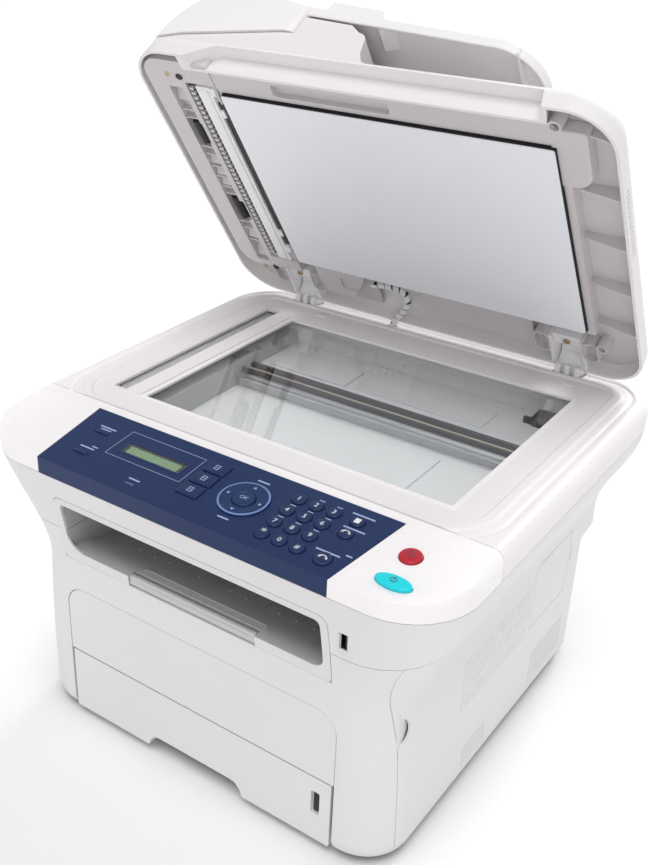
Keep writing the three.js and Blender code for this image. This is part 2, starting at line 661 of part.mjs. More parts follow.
/** Plan of the dark panel, moved outwards by a clearance. */
function panelPlan(clearance) {
  const front = DECK_FRONT_Y - 10;
  const back = CONSOLE_BACK_Y + clearance;
  return polygon([
    [-PANEL_FRONT_HALF - clearance, front], [PANEL_FRONT_HALF - 1 + clearance, front],
    [PANEL_BACK_HALF + clearance, back], [-PANEL_BACK_HALF - clearance, back],
  ]);
}

/** Keys on the console: place along the slope from the back edge's middle, and their outlines. */
function consoleKeys() {
  const round = (radius) => (grow) => new THREE.Shape().absarc(0, 0, radius + grow, 0, Math.PI * 2);
  const bar = (w, h) => (grow) => roundedRectangle(
    -w / 2 - grow, w / 2 + grow, -h / 2 - grow, h / 2 + grow, 1.2,
  );
  const oval = (a, b) => (grow) => new THREE.Shape().absellipse(0, 0, a + grow, b + grow, 0, Math.PI * 2);
  const row = (i) => KEYPAD_Y - i * KEYPAD_PITCH_Y;
  const labels = ["1", "2", "3", "4", "5", "6", "7", "8", "9", "star", "0", "hash"];
  const keypad = labels.map((label, i) => ({
    name: "key_" + label,
    x: KEYPAD_X + (i % 3 - 1) * KEYPAD_PITCH_X,
    y: row(Math.floor(i / 3)),
    outline: round(KEY_RADIUS),
  }));
  const modes = ["copy_mode_key", "fax_mode_key", "scan_mode_key"].map((name, i) => ({
    name, x: -7.2, y: -18.2 - i * MODE_PITCH, outline: bar(20, 14.2),
  }));
  return [
    ...keypad,
    { name: "address_key", x: SIDE_KEY_X, y: row(0), outline: round(KEY_RADIUS) },
    { name: "redial_key", x: SIDE_KEY_X, y: row(1), outline: round(KEY_RADIUS) },
    { name: "hook_key", x: SIDE_KEY_X + 1.4, y: row(3), outline: round(KEY_RADIUS + 1.2) },
    ...modes,
    { name: "id_copy_key", x: -122, y: -27.2, outline: bar(14, 3.6) },
    { name: "usb_key", x: -117.5, y: -57.4, outline: bar(14, 3.6) },
    { name: "ok_key", x: NAV_X, y: NAV_Y, outline: round(OK_RADIUS), inRing: true },
    { name: "nav_ring", x: NAV_X, y: NAV_Y, outline: round(NAV_RADIUS), ring: true },
    { name: "stop_key", x: 172, y: -30.2, outline: round(STOP_RADIUS), onCover: true },
    { name: "start_key", x: 175.5, y: -59.4, outline: oval(14.2, 6.6), onCover: true },
  ];
}

/** A key's outline, grown by a clearance, as a bar across the slope. */
const keyBar = (key, grow, z0, z1) => slabZ(key.outline(grow), z0, z1, 7)
  .translate([key.x, key.y, 0]);

/** Moves a solid from the slope's own frame to the machine's. */
const ontoSlope = (made) => made.rotate([CONSOLE_SLOPE * 180 / Math.PI, 0, 0])
  .translate([0, CONSOLE_BACK_Y, CONSOLE_BACK_Z]);

/** Holes through the console for the keys that stand on the panel or on the cover. */
const keyHoles = (onCover) => consoleKeys()
  .filter((key) => !key.inRing && Boolean(key.onCover) === onCover)
  .map((key) => ontoSlope(keyBar(key, KEY_GAP, -12, 6)));

const LCD = { x: -61, y: -32.4, width: 61, height: 13 };

/** White cover of the console, open under the panel. */
function consoleCover() {
  const everywhere = box(-FAR, FAR, -FAR, FAR, 0, FAR);
  const front = box(-FAR, FAR, -FAR, CONSOLE_SEAM_Y - SEAM / 2, 0, FAR);
  const outer = cut(deckOuter.intersect(front), aboveSlope);
  const room = deckInner.intersect(cut(everywhere, aboveSlope.translate([0, 0, -WALL])));
  const opening = slabZ(panelPlan(GAP), 0, FAR);
  return cut(outer, room, opening, ...keyHoles(true));
}

/** Dark panel: a bent plate over the console's top and front band. */
function consolePanel() {
  const skinBand = deckOuter.intersect(box(-FAR, FAR, -FAR, CONSOLE_SEAM_Y, TRIM_Z + SEAM / 2, FAR));
  const plate = cut(cut(skinBand, aboveSlope), cut(
    loft([
      skin(TRIM_Z - 1, PANEL_THICK), skin(DECK_LEVELS[0], PANEL_THICK), skin(DECK_Z, PANEL_THICK + 8),
    ]),
    aboveSlope.translate([0, 0, -PANEL_THICK]),
  )).intersect(slabZ(panelPlan(0), 0, FAR));
  const display = ontoSlope(box(LCD.x - LCD.width / 2 - GAP, LCD.x + LCD.width / 2 + GAP,
    LCD.y - LCD.height / 2 - GAP, LCD.y + LCD.height / 2 + GAP, -12, 6));
  return cut(plate, display, ...keyHoles(false));
}

/** Display module, sunk below the panel. */
const lcdModule = () => ontoSlope(box(LCD.x - LCD.width / 2, LCD.x + LCD.width / 2,
  LCD.y - LCD.height / 2, LCD.y + LCD.height / 2, -7, -2));

/** One key: a bar with its outline, or the ring round the middle key. */
function consoleKey(key) {
  const bar = keyBar(key, 0, -KEY_BODY, KEY_STAND);
  if (!key.ring) return ontoSlope(bar);
  const hole = barZ(key.x, key.y, OK_RADIUS + KEY_GAP, -20, 20, 24);
  return ontoSlope(cut(bar, hole));
}

// ---------------------------------------------------------------- lid, drawn closed
const hingePoint = new THREE.Vector3(0, HINGE_Y, HINGE_Z);
const lidLevel = (z, inset, front = inset) => ({
  left: LID_LEFT + inset, right: LID_RIGHT - inset, front: LID_FRONT + front,
  rear: LID_REAR - inset * 0.5, z,
  frontRadius: LID_CORNER - Math.min(inset, 20) * 0.6,
  rearRadius: LID_CORNER - Math.min(inset, 20) * 0.6,
});
const lidOuter = loft([
  lidLevel(LID_BOTTOM, 0), lidLevel(LID_BOTTOM + 5, 3, 0.3), lidLevel(LID_BOTTOM + 14, 10, 1.5),
  lidLevel(LID_BOTTOM + 20, 18, 4), lidLevel(LID_TOP, 34, 12),
]);
const lidInner = loft([
  lidLevel(LID_BOTTOM - 1, WALL), lidLevel(LID_BOTTOM + 4, 3 + WALL, WALL + 0.3),
  lidLevel(LID_BOTTOM + 12, 11 + WALL, WALL + 2), lidLevel(LID_TOP - WALL, 31, 12),
]);

/** Lid shell: domed skin, grip notch, gussets on the right, feeder base and hinge ears. */
function lidShell() {
  const base = cut(
    slabY(polygon([
      [FEEDER_LEFT + 4, LID_TOP - 3], [FEEDER_RIGHT + 44, LID_TOP - 3],
      [FEEDER_RIGHT + 30, FEEDER_BASE_TOP], [FEEDER_RIGHT - 6, FEEDER_BASE_TOP],
      [FEEDER_LEFT + 30, FEEDER_BASE_TOP - FEEDER_FALL],
    ]), FEEDER_FRONT + 2, FEEDER_REAR - 2),
    slabY(polygon([
      [FEEDER_LEFT + 12, LID_TOP - 9], [FEEDER_RIGHT + 36, LID_TOP - 9],
      [FEEDER_RIGHT + 26, FEEDER_BASE_TOP - WALL], [FEEDER_RIGHT - 6, FEEDER_BASE_TOP - WALL],
      [FEEDER_LEFT + 33, FEEDER_BASE_TOP - FEEDER_FALL - WALL],
    ]), FEEDER_FRONT + 2 + WALL, FEEDER_REAR - 2 - WALL),
  );
  const opening = box(FEEDER_LEFT + 30, FEEDER_RIGHT + 20, FEEDER_FRONT + 12, FEEDER_REAR - 12,
    LID_TOP - 12, LID_TOP + 2);
  const gussets = GUSSET_Y.map((y) => slabY(polygon([
    [LID_RIGHT - 2, LID_BOTTOM + 1], [LID_RIGHT - 26, LID_TOP - 6], [LID_RIGHT - 26, LID_TOP],
    [LID_RIGHT - 2, LID_TOP],
  ]), y - 1, y + 1).intersect(lidOuter));
  const grip = box(GRIP_LEFT, GRIP_RIGHT, LID_FRONT - 5, LID_FRONT + 8, LID_BOTTOM - 5,
    LID_BOTTOM + GRIP_DEPTH);
  const pockets = [LEFT_HINGE_X, RIGHT_HINGE_X].map((x) => box(
    x - HINGE_WIDTH / 2 - 2, x + HINGE_WIDTH / 2 + 2, 170, LID_REAR + 5, LID_BOTTOM - 5, LID_TOP + 5,
  ));
  const leadNotch = box(-66, -16, 182, LID_REAR + 5, LID_BOTTOM - 5, LID_BOTTOM + 18);
  const ears = [LEFT_HINGE_X, RIGHT_HINGE_X].flatMap((x) => [-1, 1].map((side) => {
    const inner = x + side * (HINGE_WIDTH / 2 + 1.2);
    const outer = x + side * (HINGE_WIDTH / 2 + 5.2);
    const arm = slabX(polygon([
      [160, LID_BOTTOM + 16], [HINGE_Y, HINGE_Z - 4], [HINGE_Y, HINGE_Z + 4], [160, LID_TOP - 1],
    ]), Math.min(inner, outer), Math.max(inner, outer));
    const eye = barX(
      HINGE_Y, HINGE_Z, KNUCKLE - 2, Math.min(inner, outer), Math.max(inner, outer), 12,
    );
    return arm.add(eye);
  }));
  const walls = joined(cut(lidOuter, lidInner, opening), base, ...gussets);
  return joined(cut(walls, cut(opening, base), grip, leadNotch, ...pockets), ...ears);
}

/** Frame under the lid: roller strip on the left, raised box round the pad, lead box at the back. */
function lidUnderside() {
  const z0 = LID_BOTTOM + 2;
  const left = LID_LEFT + 14;
  const plan = (inset) => roundedRectangle(
    left + inset, PAD_RIGHT + 6 - inset, -104 + inset, 146 - inset, [24 - inset, 4, 4, 4],
  );
  const plate = slabZ(plan(0), z0, z0 + WALL);
  const rim = cut(slabZ(plan(0), z0, LID_TOP - 12), slabZ(plan(WALL), z0 - 1, LID_TOP));
  const lead = box(-121, -66, 140, 166, LID_BOTTOM, LID_TOP - 11);
  const rollers = [[-42, -16], [61, 88]].map(([y0, y1]) => box(-194, -179, y0, y1, z0 - 2, z0 + 10));
  const windows = box(-168, -160, -88, 138, z0 - 2, z0 + 10);
  return cut(joined(plate, rim, lead), ...rollers, windows);
}

/** White pad that presses a page on the glass, on its foam. */
const documentPad = () => box(
  PAD_LEFT, PAD_RIGHT, PAD_FRONT, PAD_REAR, LID_BOTTOM - GAP - PAD_THICK + 3.5, LID_BOTTOM + 2 - GAP,
);

/** Feeder cover: a rounded hood over the paper path. */
function adfCover() {
  const outer = (inset) => {
    const x0 = FEEDER_LEFT + inset;
    const x1 = FEEDER_RIGHT - GAP - inset;
    const shape = new THREE.Shape();
    shape.moveTo(x0, LID_TOP + 1);
    shape.quadraticCurveTo(x0 + 4, FEEDER_TOP - 18, x0 + 50 - inset, FEEDER_TOP - inset);
    shape.lineTo(x0 + 70, FEEDER_TOP - inset);
    shape.lineTo(x1, TRAY_LEFT_Z + 4 - inset);
    shape.lineTo(x1, FEEDER_BASE_TOP + 1 - inset);
    shape.lineTo(FEEDER_RIGHT - 8 - inset, FEEDER_BASE_TOP + 1 - inset * 3);
    shape.lineTo(FEEDER_LEFT + 24 + inset, FEEDER_BASE_TOP + 1 - FEEDER_FALL - inset * 3);
    return shape;
  };
  const hood = slabY(outer(0), FEEDER_FRONT, FEEDER_REAR, 6);
  const room = slabY(outer(WALL), FEEDER_FRONT + WALL, FEEDER_REAR - WALL, 6);
  return cut(hood, room);
}

/** Sheet tray over the output tray, with rounded right corners. */
function documentTray() {
  const x0 = FEEDER_RIGHT + GAP;
  const corner = TRAY_CORNER;
  const plan = slabZ(roundedRectangle(
    x0, TRAY_RIGHT, FEEDER_FRONT, TRAY_REAR, [0, corner, corner, 0],
  ), LID_TOP, FEEDER_TOP + 20, 6);
  const slope = (top, thick) => slabY(polygon([
    [x0, TRAY_LEFT_Z - top - thick], [TRAY_RIGHT + 1, TRAY_RIGHT_Z - top - thick],
    [TRAY_RIGHT + 1, TRAY_RIGHT_Z - top], [x0, TRAY_LEFT_Z - top],
  ]), -FAR, FAR);
  const rim = plan.intersect(slope(0, TRAY_THICK));
  const under = slabZ(roundedRectangle(
    x0 + WALL, TRAY_RIGHT - WALL, FEEDER_FRONT + WALL, TRAY_REAR - WALL,
    [0, corner - WALL, corner - WALL, 0],
  ), LID_TOP, FEEDER_TOP + 20, 6);
  return cut(rim, under.intersect(slope(WALL, TRAY_THICK)));
}

/** Side guide for sheets: side is -1 at the front and 1 at the back. */
function sheetGuide(side) {
  const y = 1 + side * 108;
  const x0 = FEEDER_RIGHT + 8;
  const drop = (TRAY_LEFT_Z - TRAY_RIGHT_Z) / (TRAY_RIGHT - FEEDER_RIGHT) * GUIDE_LENGTH;
  return slabY(polygon([
    [x0, TRAY_LEFT_Z + 0.3], [x0 + GUIDE_LENGTH, TRAY_LEFT_Z + 0.3],
    [x0 + GUIDE_LENGTH - 6, TRAY_LEFT_Z + 14 - drop / 2], [x0 + 4, TRAY_LEFT_Z + 16],
  ]), y - 1.5, y + 1.5);
}

// ---------------------------------------------------------------- hinges and lead
/** Hinge post in the deck, with its round knuckle between the lid's ears. */
function hingePost(x) {
  const post = slabX(polygon([
    [POST_FRONT, TRIM_Z + 4], [POST_REAR, TRIM_Z + 4], [HINGE_Y + 6, HINGE_Z - 3],
    [HINGE_Y - 6, HINGE_Z - 3], [POST_FRONT, DECK_Z + 3],
  ]), x - HINGE_WIDTH / 2, x + HINGE_WIDTH / 2);
  return post.add(barX(HINGE_Y, HINGE_Z, KNUCKLE, x - HINGE_WIDTH / 2, x + HINGE_WIDTH / 2, 16));
}

/** Lead from the deck to the lid, held at both ends. */
function adfHarness() {
  const curve = new THREE.CatmullRomCurve3(HARNESS_ROUTE.map((p) => new THREE.Vector3(...p)));
  const section = new THREE.Shape().absarc(0, 0, HARNESS_RADIUS, 0, Math.PI * 2);
  return solid(new THREE.ExtrudeGeometry(section, {
    extrudePath: curve, steps: 22, bevelEnabled: false, curveSegments: 4,
  }));
}

// ---------------------------------------------------------------- the machine
const SHELL = { color: 0xe9e6e8, roughness: 0.5 };
const DECK = { color: 0xe2dfe1, roughness: 0.5 };
const WHITE = { color: 0xf4f2f4, roughness: 0.4 };
const GREY = { color: 0x8d8888, roughness: 0.55 };
const FRAME = { color: 0x6d6f73, roughness: 0.6 };
const NAVY = { color: 0x1c2c5c, roughness: 0.35 };
const KEYS = { color: 0x223468, roughness: 0.4 };
const NAV = { color: 0x7d96c8, roughness: 0.4 };
const RED = { color: 0xd7415a, roughness: 0.4 };
const TEAL = { color: 0x46cdcd, roughness: 0.4 };
const GLASS = { color: 0xbfd0d0, roughness: 0.05, transparent: true, opacity: 0.35 };
const LCD_GREEN = { color: 0x8caa78, roughness: 0.3 };
const RUBBER = { color: 0x1b1b1d, roughness: 0.8 };
const STEEL = { color: 0xb9bcc0, roughness: 0.3, metalness: 0.9 };

/** Makes one named piece from a solid. */
function piece(name, made, finish) {
  const mesh = new THREE.Mesh(geometryOf(made), new THREE.MeshStandardMaterial(finish));
  mesh.name = name;
  return mesh;
}

const printer = new THREE.Group();
printer.add(
  piece("base_chassis", chassis(), FRAME),
  piece("front_cover", frontCover(), SHELL),
  piece("left_cover", sideCover(-1), SHELL),
  piece("right_cover", sideCover(1), SHELL),
  piece("rear_cover", rearCover(), SHELL),
  piece("rear_door", rearDoor(), SHELL),
  piece("power_inlet", powerInlet(), RUBBER),
  piece("power_switch", powerSwitch(), RUBBER),
  piece("manual_feed_door", manualFeedDoor(), SHELL),
  piece("paper_cassette", paperCassette(), SHELL),
  piece("pickup_roller", pickupRoller(), RUBBER),
  piece("toner_cartridge", tonerCartridge(), RUBBER),
  piece("fuser_unit", fuserUnit(), FRAME),
  piece("output_bin", outputBin(), GREY),
  piece("bin_flap", binFlap(), GREY),
  piece("bin_hood", binHood(), GREY),
  piece("scanner_housing", scannerHousing(), SHELL),
  piece("usb_port", usbPort(), STEEL),
  piece("scanner_bezel", scannerBezel(), DECK),
  piece("platen_glass", pane(GLASS_LEFT, GLASS_RIGHT, GLASS_FRONT, GLASS_REAR), GLASS),
  piece("adf_glass", pane(STRIP_LEFT, STRIP_LEFT + STRIP_WIDTH, GLASS_FRONT, GLASS_REAR + 8), GLASS),
  piece("scan_carriage", scanCarriage(), RUBBER),
  piece("guide_rod", barX(ROD_Y, ROD_Z, ROD_RADIUS, -ROD_HALF, ROD_HALF, 12), STEEL),
  piece("console_cover", consoleCover(), WHITE),
  piece("console_panel", consolePanel(), NAVY),
  piece("lcd_module", lcdModule(), LCD_GREEN),
  piece("hinge_left", hingePost(LEFT_HINGE_X), WHITE),
  piece("hinge_right", hingePost(RIGHT_HINGE_X), WHITE),
  piece("adf_harness", adfHarness(), WHITE),
);
const KEY_FINISH = { nav_ring: NAV, stop_key: RED, start_key: TEAL };
consoleKeys().forEach((key) => {
  printer.add(piece(key.name, consoleKey(key), KEY_FINISH[key.name] ?? KEYS));
});

// The lid's pieces are drawn closed, then turned up about the hinge.
const lid = new THREE.Group();
lid.position.copy(hingePoint);
lid.rotation.x = -LID_OPEN;
const closed = new THREE.Group();
closed.position.copy(hingePoint).negate();
closed.add(
  piece("lid_shell", lidShell(), SHELL),
  piece("lid_underside", lidUnderside(), DECK),
  piece("document_pad", documentPad(), WHITE),
  piece("adf_cover", adfCover(), WHITE),
  piece("document_tray", documentTray(), SHELL),
  piece("sheet_guide_front", sheetGuide(-1), SHELL),
  piece("sheet_guide_rear", sheetGuide(1), SHELL),
);
lid.add(closed);
printer.add(lid);

// The origin goes under the middle of the whole machine.
const extent = new THREE.Box3().setFromObject(printer);
const middle = extent.getCenter(new THREE.Vector3());
const machine = new THREE.Group();
printer.position.set(-middle.x, -middle.y, -extent.min.z);
machine.add(printer);

export default machine;
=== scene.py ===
"""Looks of a desk-top laser multifunction printer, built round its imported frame.

Every drawing below is in millimetres: X runs to the right, Y to the back and Z up, with the middle of the
deck's front-to-back drawing at Y 0. A Drawing turns these coordinates into the frame's metres. The lid's
pieces are drawn closed and are then turned up about the hinge, as the frame holds them.
"""

import json
import logging
import math
from dataclasses import dataclass
from enum import Enum

import bmesh
import bpy
import numpy as np
from mathutils import Matrix, Vector

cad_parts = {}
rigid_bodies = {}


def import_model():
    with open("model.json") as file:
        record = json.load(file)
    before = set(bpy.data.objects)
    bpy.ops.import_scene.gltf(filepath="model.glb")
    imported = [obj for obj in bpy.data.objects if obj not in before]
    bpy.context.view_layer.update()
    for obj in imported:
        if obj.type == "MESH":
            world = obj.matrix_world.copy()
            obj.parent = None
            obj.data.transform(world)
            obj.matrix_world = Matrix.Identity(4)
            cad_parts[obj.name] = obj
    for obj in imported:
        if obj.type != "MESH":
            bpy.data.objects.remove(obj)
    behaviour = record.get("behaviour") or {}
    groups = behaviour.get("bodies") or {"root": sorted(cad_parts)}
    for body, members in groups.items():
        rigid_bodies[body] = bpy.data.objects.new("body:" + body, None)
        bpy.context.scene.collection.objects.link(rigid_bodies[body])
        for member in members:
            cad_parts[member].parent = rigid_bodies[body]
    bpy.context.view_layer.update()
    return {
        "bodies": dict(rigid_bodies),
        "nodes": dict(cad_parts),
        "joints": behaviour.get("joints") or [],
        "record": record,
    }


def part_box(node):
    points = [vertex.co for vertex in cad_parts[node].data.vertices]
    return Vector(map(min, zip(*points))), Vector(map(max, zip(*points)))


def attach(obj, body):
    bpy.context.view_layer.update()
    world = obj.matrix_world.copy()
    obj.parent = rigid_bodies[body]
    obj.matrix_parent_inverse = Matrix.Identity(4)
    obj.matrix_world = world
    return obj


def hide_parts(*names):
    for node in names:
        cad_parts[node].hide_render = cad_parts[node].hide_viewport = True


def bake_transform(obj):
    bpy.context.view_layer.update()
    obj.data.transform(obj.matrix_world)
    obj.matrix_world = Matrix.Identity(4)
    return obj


LOG = logging.getLogger("printer")
MM = 0.001
WALL = 2.5
SEAM = 0.6
FAR = 400.0
HINGE_X = (-149.0, 141.0)
HINGE_AXIS = (195.3, 308.5)  # Y and Z of the lid's pins
LID_OPEN = math.radians(55.4)
SLOPE = math.radians(6.58)  # how far the console falls towards the front
SLOPE_TOP = (-131.0, 286.0)  # Y and Z of the slope's back edge
LEAD_ROUTE = ((-44.2, 180.5, 270), (-44.2, 180.5, 288), (-40, 180, 297), (-32, 179, 307), (-28, 178, 317),
              (-31, 177.5, 325), (-41, 176.5, 329), (-53, 174.5, 329.8), (-63.4, 171.5, 329.6))
LEAD_BEND = (1, 6)  # the two points of the route between which the lead bends
Points = np.ndarray
Item = bpy.types.Object
Outline = list[tuple[float, float]]


class Body(Enum):
    """The rigid bodies that pieces ride on."""

    BASE = "printer_base"
    LID = "lid"
    FEEDER = "adf_cover"
    TRAY = "document_tray"
    GUIDE_FRONT = "sheet_guide_front"
    GUIDE_REAR = "sheet_guide_rear"
    FRONT = "front_cover"
    DOOR = "manual_feed_door"
    CASSETTE = "cassette"
    CARRIAGE = "carriage"
    FLAP = "bin_flap"
    REAR_DOOR = "rear_door"
    SWITCH = "power_switch"
    PICKUP = "pickup_roller"


# ---------------------------------------------------------------- finishes
def new_group(name: str, inputs: dict[str, tuple[str, object]], outputs: dict[str, str]):
    """Makes a shader node group with its sockets.

    Args:
        name: the group's name.
        inputs: socket name to its type and default value.
        outputs: socket name to its type.

    Returns:
        The group, its input node and its output node.
    """
    group = bpy.data.node_groups.new(name, "ShaderNodeTree")
    for label, (kind, value) in inputs.items():
        socket = group.interface.new_socket(label, in_out="INPUT", socket_type=kind)
        if value is not None:
            socket.default_value = value
    for label, kind in outputs.items():
        group.interface.new_socket(label, in_out="OUTPUT", socket_type=kind)
    return group, group.nodes.new("NodeGroupInput"), group.nodes.new("NodeGroupOutput")


def fill(node, values: dict[str, object]) -> None:
    """Sets a node's inputs by name."""
    for label, value in values.items():
        node.inputs[label].default_value = value


def join(tree, *pairs) -> None:
    """Links pairs of sockets, each an output and an input."""
    for output, entry in pairs:
        tree.links.new(output, entry)


def math_node(group, operation: str, first, second):
    """Adds a Math node whose inputs are sockets or plain numbers and returns its output."""
    node = group.nodes.new("ShaderNodeMath")
    node.operation = operation
    for socket, value in zip(node.inputs, (first, second)):
        if isinstance(value, (int, float)):
            socket.default_value = value
        else:
            group.links.new(value, socket)
    return node.outputs[0]


def moulded_group() -> bpy.types.ShaderNodeTree:
    """Grain, slow shade changes and handling marks of a moulded plastic skin.

    Returns:
        A group that gives a colour, a roughness and a normal that change over the surface.
    """
    group, source, sink = new_group(
        "moulded_skin",
        {
            "Vector": ("NodeSocketVector", None),
            "Colour": ("NodeSocketColor", (0.8, 0.8, 0.8, 1.0)),
            "Roughness": ("NodeSocketFloat", 0.5),
            "Grain Scale": ("NodeSocketFloat", 900.0),
            "Grain Depth": ("NodeSocketFloat", 0.3),
            "Shade": ("NodeSocketFloat", 0.04),
        },
        {"Colour": "NodeSocketColor", "Roughness": "NodeSocketFloat", "Normal": "NodeSocketVector"},
    )
    grain = group.nodes.new("ShaderNodeTexNoise")
    fill(grain, {"Detail": 2.0})
    slow = group.nodes.new("ShaderNodeTexNoise")
    fill(slow, {"Scale": 9.0, "Detail": 3.0})
    centred = math_node(group, "SUBTRACT", slow.outputs["Fac"], 0.5)
    swing = math_node(group, "MULTIPLY", centred, source.outputs["Shade"])
    gain = math_node(group, "ADD", swing, 1.0)
    tint = group.nodes.new("ShaderNodeVectorMath")
    tint.operation = "SCALE"
    marks = math_node(group, "MULTIPLY", centred, 0.25)
    fine = math_node(group, "MULTIPLY", math_node(group, "SUBTRACT", grain.outputs["Fac"], 0.5), 0.12)
    rough = math_node(group, "ADD", source.outputs["Roughness"], math_node(group, "ADD", marks, fine))
    bump = group.nodes.new("ShaderNodeBump")
    fill(bump, {"Distance": 0.0001})
    given, made = source.outputs, sink.inputs
    join(group, (given["Vector"], grain.inputs["Vector"]), (given["Grain Scale"], grain.inputs["Scale"]),
         (given["Vector"], slow.inputs["Vector"]), (given["Colour"], tint.inputs[0]),
         (gain, tint.inputs["Scale"]), (given["Grain Depth"], bump.inputs["Strength"]),
         (grain.outputs["Fac"], bump.inputs["Height"]), (tint.outputs[0], made["Colour"]),
         (rough, made["Roughness"]), (bump.outputs["Normal"], made["Normal"]))
    return group


@dataclass(frozen=True)
class Finish:
    """A moulded plastic, rubber or metal finish.

    grain is the width of the mould's texture in millimetres, depth its strength and shade how much the
    colour drifts over the piece.
    """

    name: str
    slot: str
    colour: tuple[float, float, float]
    roughness: float
    grain: float = 0.9
    depth: float = 0.25
    shade: float = 0.05
    metallic: float = 0.0
    specular: float = 0.5
    glow: float = 0.0

    def material(self) -> bpy.types.Material:
        """Returns the finish's material, made once."""
        known = bpy.data.materials.get(self.name)
        if known:
            return known
        made = bpy.data.materials.new(self.name)
        made.use_nodes = True
        tree = made.node_tree
        shader = tree.nodes["Principled BSDF"]
        place = tree.nodes.new("ShaderNodeTexCoord")
        skin = tree.nodes.new("ShaderNodeGroup")
        skin.node_tree = bpy.data.node_groups.get("moulded_skin") or moulded_group()
        colour = (*self.colour, 1.0)
        fill(skin, {"Colour": colour, "Roughness": self.roughness, "Grain Scale": 1.0 / (self.grain * MM),
                    "Grain Depth": self.depth, "Shade": self.shade})
        join(tree, (place.outputs["Object"], skin.inputs["Vector"]),
             (skin.outputs["Colour"], shader.inputs["Base Color"]),
             (skin.outputs["Roughness"], shader.inputs["Roughness"]),
             (skin.outputs["Normal"], shader.inputs["Normal"]))
        fill(shader, {"Metallic": self.metallic, "Specular IOR Level": self.specular})
        if self.glow:
            fill(shader, {"Emission Color": colour, "Emission Strength": self.glow})
        return made


@dataclass(frozen=True)
class ClearFinish:
    """Clear glass or window plastic that lets light through to what lies under it."""

    name: str
    slot: str
    colour: tuple[float, float, float]
    roughness: float = 0.0

    def material(self) -> bpy.types.Material:
        """Returns the clear material; shadow rays pass it, so the space below stays lit."""
        known = bpy.data.materials.get(self.name)
        if known:
            return known
        made = bpy.data.materials.new(self.name)
        made.use_nodes = True
        tree = made.node_tree
        shader = tree.nodes["Principled BSDF"]
        colour = (*self.colour, 1.0)
        fill(shader, {"Base Color": colour, "Transmission Weight": 1.0, "Roughness": self.roughness,
                      "IOR": 1.46})
        passing = tree.nodes.new("ShaderNodeBsdfTransparent")
        fill(passing, {"Color": colour})
        rays = tree.nodes.new("ShaderNodeLightPath")
        mix = tree.nodes.new("ShaderNodeMixShader")
        join(tree, (rays.outputs["Is Shadow Ray"], mix.inputs["Fac"]),
             (shader.outputs["BSDF"], mix.inputs[1]), (passing.outputs["BSDF"], mix.inputs[2]),
             (mix.outputs["Shader"], tree.nodes["Material Output"].inputs["Surface"]))
        return made


SHELL = Finish("warm_white_shell", "shell_plastic", (0.76, 0.745, 0.755), 0.42)
TRIM_WHITE = Finish("console_white", "white_plastic", (0.92, 0.89, 0.90), 0.30, depth=0.12)
DECK = Finish("deck_grey_white", "deck_plastic", (0.85, 0.815, 0.83), 0.45)
LID_SKIN = Finish("lid_off_white", "lid_plastic", (0.80, 0.775, 0.775), 0.45)
FEEDER_WHITE = Finish("feeder_white", "lid_plastic", (0.85, 0.83, 0.835), 0.42)
LID_INSIDE = Finish("lid_inside", "deck_plastic", (0.60, 0.565, 0.57), 0.50)
BIN_RING = Finish("bin_ring_grey", "grey_plastic", (0.74, 0.725, 0.74), 0.42)
BIN_DARK = Finish("bin_inside_grey", "grey_plastic", (0.50, 0.485, 0.495), 0.48, grain=1.2)
FLAP_GREY = Finish("flap_grey", "grey_plastic", (0.56, 0.55, 0.56), 0.40)
NAVY = Finish("console_navy", "navy_plastic", (0.009, 0.027, 0.10), 0.36, grain=0.6, depth=0.10, specular=0.3)
NAVY_EDGE = Finish("console_navy_edge", "navy_plastic", (0.014, 0.035, 0.12),
                   0.32, grain=0.6, depth=0.06, specular=0.3)
KEY_NAVY = Finish("key_navy", "key_plastic", (0.012, 0.030, 0.10), 0.30, grain=0.5, depth=0.05, specular=0.3)
NAV_BLUE = Finish("arrow_ring_blue", "nav_plastic", (0.012, 0.034, 0.115),
                  0.30, grain=0.5, depth=0.05, specular=0.3)
NAV_RIM = Finish("arrow_ring_rim", "nav_plastic", (0.16, 0.25, 0.52), 0.28, grain=0.5, depth=0.05)
PRINT_BLUE = Finish("pale_print", "key_plastic", (0.36, 0.44, 0.68), 0.45, grain=0.4, depth=0.02)
SIGN_DARK = Finish("dark_sign", "key_plastic", (0.10, 0.07, 0.10), 0.45, grain=0.4, depth=0.02)
PRINT_WHITE = Finish("white_print", "key_plastic", (0.80, 0.82, 0.86), 0.45, grain=0.4, depth=0.02)
STOP_RED = Finish("stop_red", "red_plastic", (0.483, 0.022, 0.035), 0.30, grain=0.5, depth=0.05, specular=0.3)
START_TEAL = Finish("start_teal", "teal_plastic", (0.013, 0.672, 0.752),
                    0.30, grain=0.5, depth=0.05, specular=0.3)
BLACK = Finish("black_plastic", "black_plastic", (0.017, 0.017, 0.019), 0.45)
CHARCOAL = Finish("frame_charcoal", "frame_plastic", (0.15, 0.155, 0.17), 0.5, grain=1.4)
RUBBER = Finish("roller_rubber", "rubber", (0.028, 0.028, 0.030), 0.78, grain=0.5, depth=0.5)
FOAM = Finish("black_foam", "white_pad", (0.012, 0.012, 0.014), 0.95, grain=1.6, depth=0.8)
PAD_WHITE = Finish("pad_sheet", "white_pad", (0.84, 0.85, 0.89), 0.34, grain=1.5, depth=0.04, shade=0.02)
STEEL = Finish("ground_steel", "steel", (0.56, 0.57, 0.58), 0.22, grain=0.35, depth=0.1, metallic=1.0)
# Painted shade: near-black lid plastic laid in the gap beside the white guide bar, standing for the shade in
# that gap.
GAP_PAINTED_SHADE = Finish("guide_gap_painted_shade", "lid_plastic", (0.045, 0.035, 0.032), 0.6)
BRASS_DULL = Finish("belt_tan", "steel", (0.42, 0.34, 0.25), 0.5, grain=0.8, depth=0.1)
